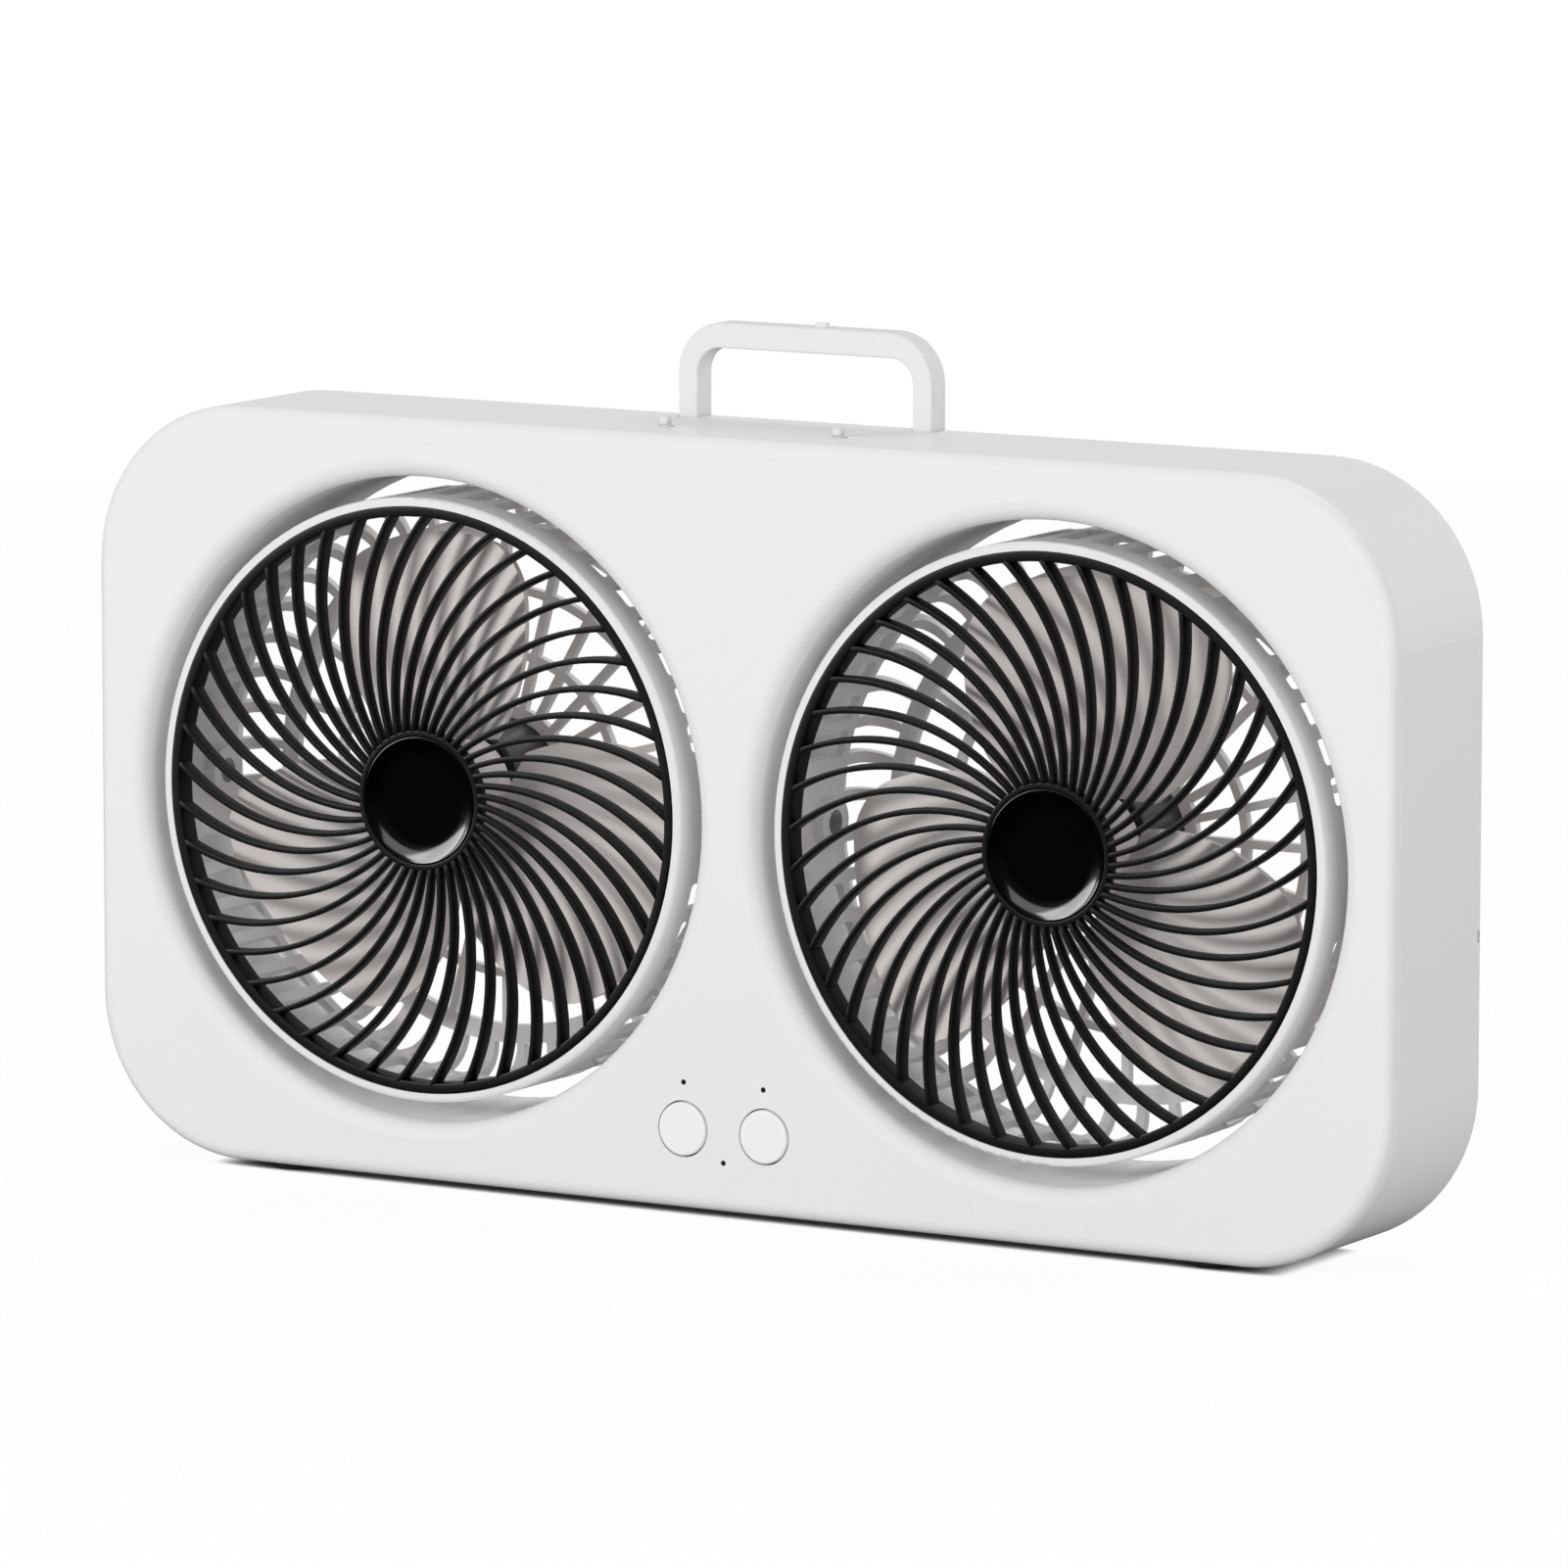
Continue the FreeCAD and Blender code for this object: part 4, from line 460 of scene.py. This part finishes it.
@dataclass
class FanHead:
    """One tilting head: guard basket, grille, hub cap, rotor and motor. Sizes in millimetres."""

    side: Side
    finishes: Finishes
    offset: float = 84.7
    rim: float = -20.5
    ring_radius: float = 70.0
    ring_width: float = 2.4
    ring_depth: float = 5.5
    hub_radius: float = 16.8
    hub_depth: float = 3.6
    cap_radius: float = 15.2
    cap_depth: float = 2.9
    cap_lip: float = 0.3
    cap_bend: float = 6.2
    cap_sink: float = 1.8
    bar_count: int = 45
    bar_bend: float = 56.7
    bar_lean: float = 12.0
    bar_width: float = 1.35
    bar_depth_hub: float = 2.2
    bar_depth_rim: float = 4.2
    bar_swept_depth: float = 1.0
    bar_root: float = 0.6
    hub_bore: float = 4.0
    cap_gap: float = 0.1
    ring_soft: float = 0.35
    hub_soft: float = 0.3
    bar_soft: float = 0.3
    cap_soft: float = 0.12
    soften_above: float = 60.0
    ring_steps: int = 180
    hub_steps: int = 96
    bar_steps: int = 22
    cap_steps: int = 120
    dish_steps: int = 12

    def named(self, word: str) -> str:
        """Name of this head's node or piece."""
        return f"{self.side.word}_{word}"

    def set_in_place(self, mesh: bmesh.types.BMesh) -> None:
        """Move a mesh of the left head's hand to this head.

        Args:
            mesh: Mesh about the origin, which is changed.
        """
        if self.side is Side.RIGHT:
            bmesh.ops.scale(mesh, vec=(-1, 1, 1), verts=mesh.verts[:])
            bmesh.ops.reverse_faces(mesh, faces=mesh.faces[:])
        place = Vector((self.side.value * self.offset, 0, MIDDLE_HEIGHT)) * MM
        bmesh.ops.translate(mesh, vec=place, verts=mesh.verts[:])

    def dress(self) -> None:
        """Give the head's CAD nodes their finishes."""
        for word, finish in HEAD_NODES.items():
            self.finishes.dress_node(self.named(word), finish)

    def build(self) -> None:
        """Build the pieces that stand for CAD nodes."""
        self.build_grille()
        self.build_cap()

    def build_grille(self) -> None:
        """Build the black grille: ring, hub collar and curved bars."""
        bore = self.ring_radius - self.ring_width
        ring_rear = self.rim + self.ring_depth
        ring = lathe([(bore, self.rim), (self.ring_radius, self.rim), (self.ring_radius, ring_rear),
                      (bore, ring_rear)], self.ring_steps)
        soften(ring, self.ring_soft, ROUND_STEPS)
        recess = self.cap_radius + self.cap_gap
        recess_floor = self.rim + self.cap_depth
        hub_rear = self.rim + self.hub_depth
        hub = lathe([(recess, self.rim), (self.hub_radius, self.rim), (self.hub_radius, hub_rear),
                     (self.hub_bore, hub_rear), (self.hub_bore, recess_floor), (recess, recess_floor)],
                    self.hub_steps)
        soften(hub, self.hub_soft, ROUND_STEPS)
        bars = self.one_bar(bore)
        repeat_round(bars, self.bar_count)
        for part in (ring, hub):
            copy_into(bars, part)
        self.set_in_place(bars)
        add_piece(self.named("grille_bars"), bars, self.named("head"), self.finishes.of(GRILLE_BLACK),
                  [self.named("front_grille")])

    def one_bar(self, bore: float) -> bmesh.types.BMesh:
        """Sweep one bar along its arc, deeper towards the rim.

        Args:
            bore: Inner radius of the grille's ring.

        Returns:
            The bar's mesh.
        """
        lean = math.radians(self.bar_lean)
        centre = Vector((self.hub_radius, 0, 0)) - self.bar_bend * Vector((math.sin(lean), 0, math.cos(lean)))
        first = self.bar_angle(centre, self.hub_radius - self.bar_root)
        last = self.bar_angle(centre, bore + self.bar_root)
        mesh = bmesh.new()
        corners = []
        for across, depth in ((-1, 0), (1, 0), (1, 1), (-1, 1)):
            reach = self.bar_bend + across * self.bar_width / 2
            spot = centre + Vector((reach * math.cos(first), 0, reach * math.sin(first)))
            y = self.rim + depth * self.bar_swept_depth
            corners.append(mesh.verts.new((spot.x * MM, y * MM, spot.z * MM)))
        face = mesh.faces.new(corners)
        bmesh.ops.spin(mesh, geom=[face], cent=centre * MM, axis=(0, 1, 0), angle=first - last,
                       steps=self.bar_steps)
        bmesh.ops.recalc_face_normals(mesh, faces=mesh.faces[:])
        # The rear corners, swept at an even depth, get their own depth here
        between = (self.rim + self.bar_swept_depth / 2) * MM
        for vert in mesh.verts:
            if vert.co.y > between:
                reach = math.hypot(vert.co.x, vert.co.z) / MM
                share = min(max((reach - self.hub_radius) / (bore - self.hub_radius), 0.0), 1.0)
                vert.co.y = (self.rim + self.bar_depth_hub
                             + share * (self.bar_depth_rim - self.bar_depth_hub)) * MM
        soften(mesh, self.bar_soft, sharper_than=self.soften_above)
        return mesh

    def bar_angle(self, centre: Vector, reach: float) -> float:
        """Angle on the bar's arc at which it is a given way from the hub's middle.

        Args:
            centre: Centre of the arc.
            reach: Distance from the hub's middle.

        Returns:
            The angle in radians, from X towards Z.
        """
        span = centre.length
        turn = math.acos((span * span + self.bar_bend ** 2 - reach * reach) / (2 * span * self.bar_bend))
        return math.atan2(-centre.z, -centre.x) - turn

    def build_cap(self) -> None:
        """Build the dished cap in the middle of the grille."""
        rim = self.cap_radius - self.cap_lip
        floor = self.rim + self.cap_sink
        sweep = math.acos(1 - self.cap_sink / self.cap_bend)
        dish = []
        for step in range(self.dish_steps + 1):
            angle = sweep * (1 - step / self.dish_steps)
            dish.append((rim - self.cap_bend * (math.sin(sweep) - math.sin(angle)),
                         floor - self.cap_bend * (1 - math.cos(angle))))
        mesh = lathe([(0.0, self.rim + self.cap_depth), (self.cap_radius, self.rim + self.cap_depth),
                      (self.cap_radius, self.rim), *dish, (0.0, floor)], self.cap_steps)
        soften(mesh, self.cap_soft, sharper_than=self.soften_above)
        self.set_in_place(mesh)
        add_piece(self.named("dished_cap"), mesh, self.named("head"), self.finishes.of(CAP_BLACK),
                  [self.named("hub_cap")])


@dataclass
class Housing:
    """The casing with its handle, controls and what is inside it."""

    finishes: Finishes

    def dress(self) -> None:
        """Give the casing's CAD nodes their finishes."""
        for node, finish in HOUSING_NODES.items():
            self.finishes.dress_node(node, finish)


@dataclass
class Controls:
    """Push buttons in the face and slide knobs on the top. Sizes in millimetres."""

    finishes: Finishes
    button_x: float = 11.0
    button_height: float = 20.7
    button_radius: float = 6.35
    button_round: float = 0.6
    button_front: float = -22.5
    button_dish: float = 0.12
    dish_share: float = 0.75
    button_steps: int = 96
    button_round_steps: int = 4
    flange_radius: float = 7.6
    flange_front: float = -19.5
    flange_rear: float = -18.5
    plunger_radius: float = 2.0
    plunger_end: float = -15.95
    slide_x: float = 23.4
    slide_rest: float = 3.0
    slide_y: float = -4.0
    knob: tuple[float, float, float] = (2.4, 2.6, 2.05)
    knob_low: float = 183.75
    knob_round: float = 0.55
    stem: tuple[float, float, float] = (2.0, 1.5, 4.1)
    stem_round: float = 0.1
    stem_overlap: float = 0.25

    def build(self) -> None:
        """Build both buttons and both knobs."""
        for side in Side:
            self.build_button(side)
            self.build_knob(side)

    def build_button(self, side: Side) -> None:
        """Turn one button, slightly proud of the face and faintly dished.

        Args:
            side: Which of the two.
        """
        mesh = lathe([
            (0.0, self.button_front + self.button_dish),
            (self.dish_share * self.button_radius, self.button_front),
            (self.button_radius, self.button_front), (self.button_radius, self.flange_front),
            (self.flange_radius, self.flange_front), (self.flange_radius, self.flange_rear),
            (self.plunger_radius, self.flange_rear), (self.plunger_radius, self.plunger_end),
            (0.0, self.plunger_end),
        ], self.button_steps)
        soften(mesh, self.button_round, self.button_round_steps)
        place = Vector((side.value * self.button_x, 0, self.button_height)) * MM
        bmesh.ops.translate(mesh, vec=place, verts=mesh.verts[:])
        add_piece(f"{side.word}_button_cap", mesh, f"{side.word}_press", self.finishes.of(BUTTON_WHITE),
                  [f"{side.word}_button"])

    def build_knob(self, side: Side) -> None:
        """Build one slide knob with its stem.

        Args:
            side: Which of the two.
        """
        x = side.value * self.slide_x - self.slide_rest
        knob_middle = self.knob_low + self.knob[2] / 2
        stem_middle = self.knob_low + self.stem_overlap - self.stem[2] / 2
        mesh = rounded_block(self.knob, (x, self.slide_y, knob_middle), self.knob_round)
        copy_into(mesh, rounded_block(self.stem, (x, self.slide_y, stem_middle), self.stem_round))
        add_piece(f"{side.word}_slide_cap", mesh, f"{side.word}_slider", self.finishes.of(KNOB_WHITE),
                  [f"{side.word}_slide_knob"])


@dataclass
class Feet:
    """Four soft round feet with pegs. Sizes in millimetres."""

    finishes: Finishes
    place_x: float = 125.0
    place_y: float = 13.0
    radius: float = 5.0
    height: float = 1.5
    peg_radius: float = 2.0
    peg_top: float = 3.7
    edge_round: float = 0.4
    steps: int = 48

    def build(self) -> None:
        """Turn four feet and set them under the casing."""
        feet = bmesh.new()
        upright = Matrix.Rotation(math.pi / 2, 3, "X")
        for x, y in product((-1, 1), repeat=2):
            foot = lathe([(0.0, 0.0), (self.radius, 0.0), (self.radius, self.height),
                          (self.peg_radius, self.height), (self.peg_radius, self.peg_top),
                          (0.0, self.peg_top)], self.steps)
            soften(foot, self.edge_round, ROUND_STEPS)
            bmesh.ops.rotate(foot, cent=(0, 0, 0), matrix=upright, verts=foot.verts[:])
            place = Vector((x * self.place_x, y * self.place_y, 0)) * MM
            bmesh.ops.translate(foot, vec=place, verts=foot.verts[:])
            copy_into(feet, foot)
        add_piece("soft_feet", feet, "casing", self.finishes.of(FOOT_RUBBER), ["feet"])


@dataclass(frozen=True)
class Lamp:
    """A soft rectangular lamp that points at the fan. Sizes in metres, power in watts."""

    name: str
    place: tuple[float, float, float]
    width: float
    height: float
    power: float
    lights_matt: bool = True
    is_mirrored: bool = True

    def build(self, aim: Vector) -> None:
        """Hang the lamp up.

        Args:
            aim: Place that it points at.
        """
        lamp = bpy.data.lights.new(self.name, "AREA")
        lamp.shape = "RECTANGLE"
        lamp.size = self.width
        lamp.size_y = self.height
        lamp.energy = self.power
        holder = bpy.data.objects.new(self.name, lamp)
        holder.location = self.place
        holder.rotation_euler = (aim - Vector(self.place)).to_track_quat("-Z", "Y").to_euler()
        holder.visible_diffuse = self.lights_matt
        holder.visible_glossy = self.is_mirrored
        bpy.context.scene.collection.objects.link(holder)


LAMPS = (
    # A small key from the front left, one lamp above the back and a broad one at the right
    Lamp("key", (-1.6, -3.4, 1.2), 0.7, 0.7, 84.0, is_mirrored=False),
    Lamp("above", (0.2, 1.4, 2.2), 1.6, 1.6, 14.0),
    Lamp("fill", (2.9, -1.8, 0.7), 1.8, 1.8, 40.0, is_mirrored=False),
    # Cards that only show as light edges on black pieces
    Lamp("card_left", (-1.9, -1.0, 1.35), 2.2, 2.6, 150.0, lights_matt=False),
    Lamp("card_front", (-0.55, -1.9, 1.65), 2.6, 1.5, 30.0, lights_matt=False),
)


@dataclass
class Studio:
    """Plain pale floor, soft light and the camera of the photograph. Metres and degrees."""

    image_side: int = 1601
    focal_px: float = 11180.96
    azimuth: float = 30.7
    elevation: float = 8.44
    distance: float = 2.54567
    target: tuple[float, float, float] = (0.0, -0.022, 0.0925)
    target_px: tuple[float, float] = (738.5, 846.1)
    light_in_front: float = 0.24
    light_behind: float = 0.72
    mirrored_in_front: float = 0.05
    light_fade: float = 0.5
    lamp_aim: tuple[float, float, float] = (0.0, 0.0, 0.1)
    floor_radius: float = 1.5
    floor_steps: int = 96
    floor_bounce: str = "#c8c8c8"
    floor_mirrored: str = "#181818"
    floor_glow: float = 0.95
    shadow_reach: float = 0.0045
    shadow_black: float = 0.12
    shadow_white: float = 0.36
    shadow_samples: int = 16
    sensor_mm: float = 36.0
    clip: tuple[float, float] = (0.05, 50.0)

    def build(self) -> None:
        """Build the floor, the light and the camera."""
        self.build_world()
        self.build_floor()
        self.build_lamps()
        self.build_camera()

    def build_world(self) -> None:
        """White surroundings for the camera; for the object a bright backdrop and a dim room in front."""
        world = bpy.data.worlds.new("studio_white")
        bpy.context.scene.world = world
        world.use_nodes = True
        tree = world.node_tree
        tree.nodes.clear()
        path = add_node(tree, "ShaderNodeLightPath").outputs
        seen = add_node(tree, "ShaderNodeMath", {"operation": "MAXIMUM"},
                        {0: path["Is Camera Ray"], 1: path["Is Transmission Ray"]}).outputs[0]
        way = add_node(tree, "ShaderNodeTexCoord").outputs["Generated"]
        depth = add_node(tree, "ShaderNodeSeparateXYZ", links={0: way}).outputs["Y"]
        levels = {VALUE_A: self.light_in_front, VALUE_B: self.mirrored_in_front}
        room = add_node(tree, "ShaderNodeMix", levels, {0: path["Is Glossy Ray"]}).outputs[VALUE_OUT]
        fade = {"From Min": -self.light_fade, "From Max": self.light_fade, "To Max": self.light_behind}
        level = add_node(tree, "ShaderNodeMapRange", fade, {"Value": depth, "To Min": room}).outputs["Result"]
        light = add_node(tree, "ShaderNodeBackground", {"Color": WHITE}, {"Strength": level})
        shown = add_node(tree, "ShaderNodeBackground", {"Color": WHITE, "Strength": 1.0})
        mixed = add_node(tree, "ShaderNodeMixShader",
                         links={0: seen, 1: light.outputs[0], 2: shown.outputs[0]})
        add_node(tree, "ShaderNodeOutputWorld", links={"Surface": mixed.outputs[0]})

    def build_floor(self) -> None:
        """Wide pale floor that shows nearly white, with the dark line where the casing nearly meets it."""
        mesh = bmesh.new()
        bmesh.ops.create_circle(mesh, cap_ends=True, segments=self.floor_steps, radius=self.floor_radius)
        data = bpy.data.meshes.new("floor")
        mesh.to_mesh(data)
        mesh.free()
        floor = bpy.data.objects.new("floor", data)
        bpy.context.scene.collection.objects.link(floor)
        material, tree = new_material("pale_studio_paper")
        path = add_node(tree, "ShaderNodeLightPath").outputs
        bounce = add_node(tree, "ShaderNodeMix",
                          {"data_type": "RGBA", COLOUR_A: linear(self.floor_bounce),
                           COLOUR_B: linear(self.floor_mirrored)},
                          {0: path["Is Glossy Ray"]}).outputs[COLOUR_OUT]
        paper = add_node(tree, "ShaderNodeMix", {"data_type": "RGBA", COLOUR_B: WHITE},
                         {0: path["Is Camera Ray"], COLOUR_A: bounce}).outputs[COLOUR_OUT]
        matt = add_node(tree, "ShaderNodeBsdfDiffuse", links={"Color": paper})
        nearby = {"samples": self.shadow_samples, "Distance": self.shadow_reach}
        open_sky = add_node(tree, "ShaderNodeAmbientOcclusion", nearby).outputs["AO"]
        edge = {"From Min": self.shadow_black, "From Max": self.shadow_white}
        lit = add_node(tree, "ShaderNodeMapRange", edge, {"Value": open_sky}).outputs["Result"]
        white = add_node(tree, "ShaderNodeEmission", {"Color": WHITE}, {"Strength": lit})
        share = add_node(tree, "ShaderNodeMath", {"operation": "MULTIPLY", 1: self.floor_glow},
                         {0: path["Is Camera Ray"]}).outputs[0]
        mixed = add_node(tree, "ShaderNodeMixShader",
                         links={0: share, 1: matt.outputs[0], 2: white.outputs[0]})
        add_node(tree, "ShaderNodeOutputMaterial", links={"Surface": mixed.outputs[0]})
        data.materials.append(material)

    def build_lamps(self) -> None:
        """Hang up the lamps."""
        for lamp in LAMPS:
            lamp.build(Vector(self.lamp_aim))

    def aim_cards(self, finishes: Sequence[bpy.types.Material]) -> None:
        """Keep the cards' light on the pieces of the given finishes.

        Args:
            finishes: Materials of the pieces that the cards light.
        """
        lit = bpy.data.collections.new("lit_by_cards")
        for piece in bpy.context.scene.objects:
            if piece.type == "MESH" and piece.active_material in finishes:
                lit.objects.link(piece)
        for lamp in LAMPS:
            if not lamp.lights_matt:
                bpy.data.objects[lamp.name].light_linking.receiver_collection = lit

    def build_camera(self) -> None:
        """Camera at the photograph's viewing angle."""
        turn = math.radians(self.azimuth)
        tilt = math.radians(self.elevation)
        back = Vector((math.sin(turn) * math.cos(tilt), -math.cos(turn) * math.cos(tilt), math.sin(tilt)))
        data = bpy.data.cameras.new("camera")
        data.sensor_width = self.sensor_mm
        data.lens = self.focal_px / self.image_side * self.sensor_mm
        half = self.image_side / 2
        data.shift_x = (half - self.target_px[0]) / self.image_side
        data.shift_y = (self.target_px[1] - half) / self.image_side
        data.clip_start, data.clip_end = self.clip
        camera = bpy.data.objects.new("camera", data)
        camera.location = Vector(self.target) + back * self.distance
        camera.rotation_euler = (-back).to_track_quat("-Z", "Y").to_euler()
        bpy.context.scene.collection.objects.link(camera)
        bpy.context.scene.camera = camera


def main() -> None:
    """Build the studio and dress the fan."""
    logging.basicConfig(level=logging.INFO)
    bpy.context.scene.view_settings.view_transform = "Standard"
    finishes = Finishes()
    studio = Studio()
    studio.build()
    Housing(finishes).dress()
    Controls(finishes).build()
    Feet(finishes).build()
    for side in Side:
        head = FanHead(side, finishes)
        head.dress()
        head.build()
    studio.aim_cards([finishes.of(CAP_BLACK), finishes.of(GRILLE_BLACK)])


if __name__ == "__main__":
    main()
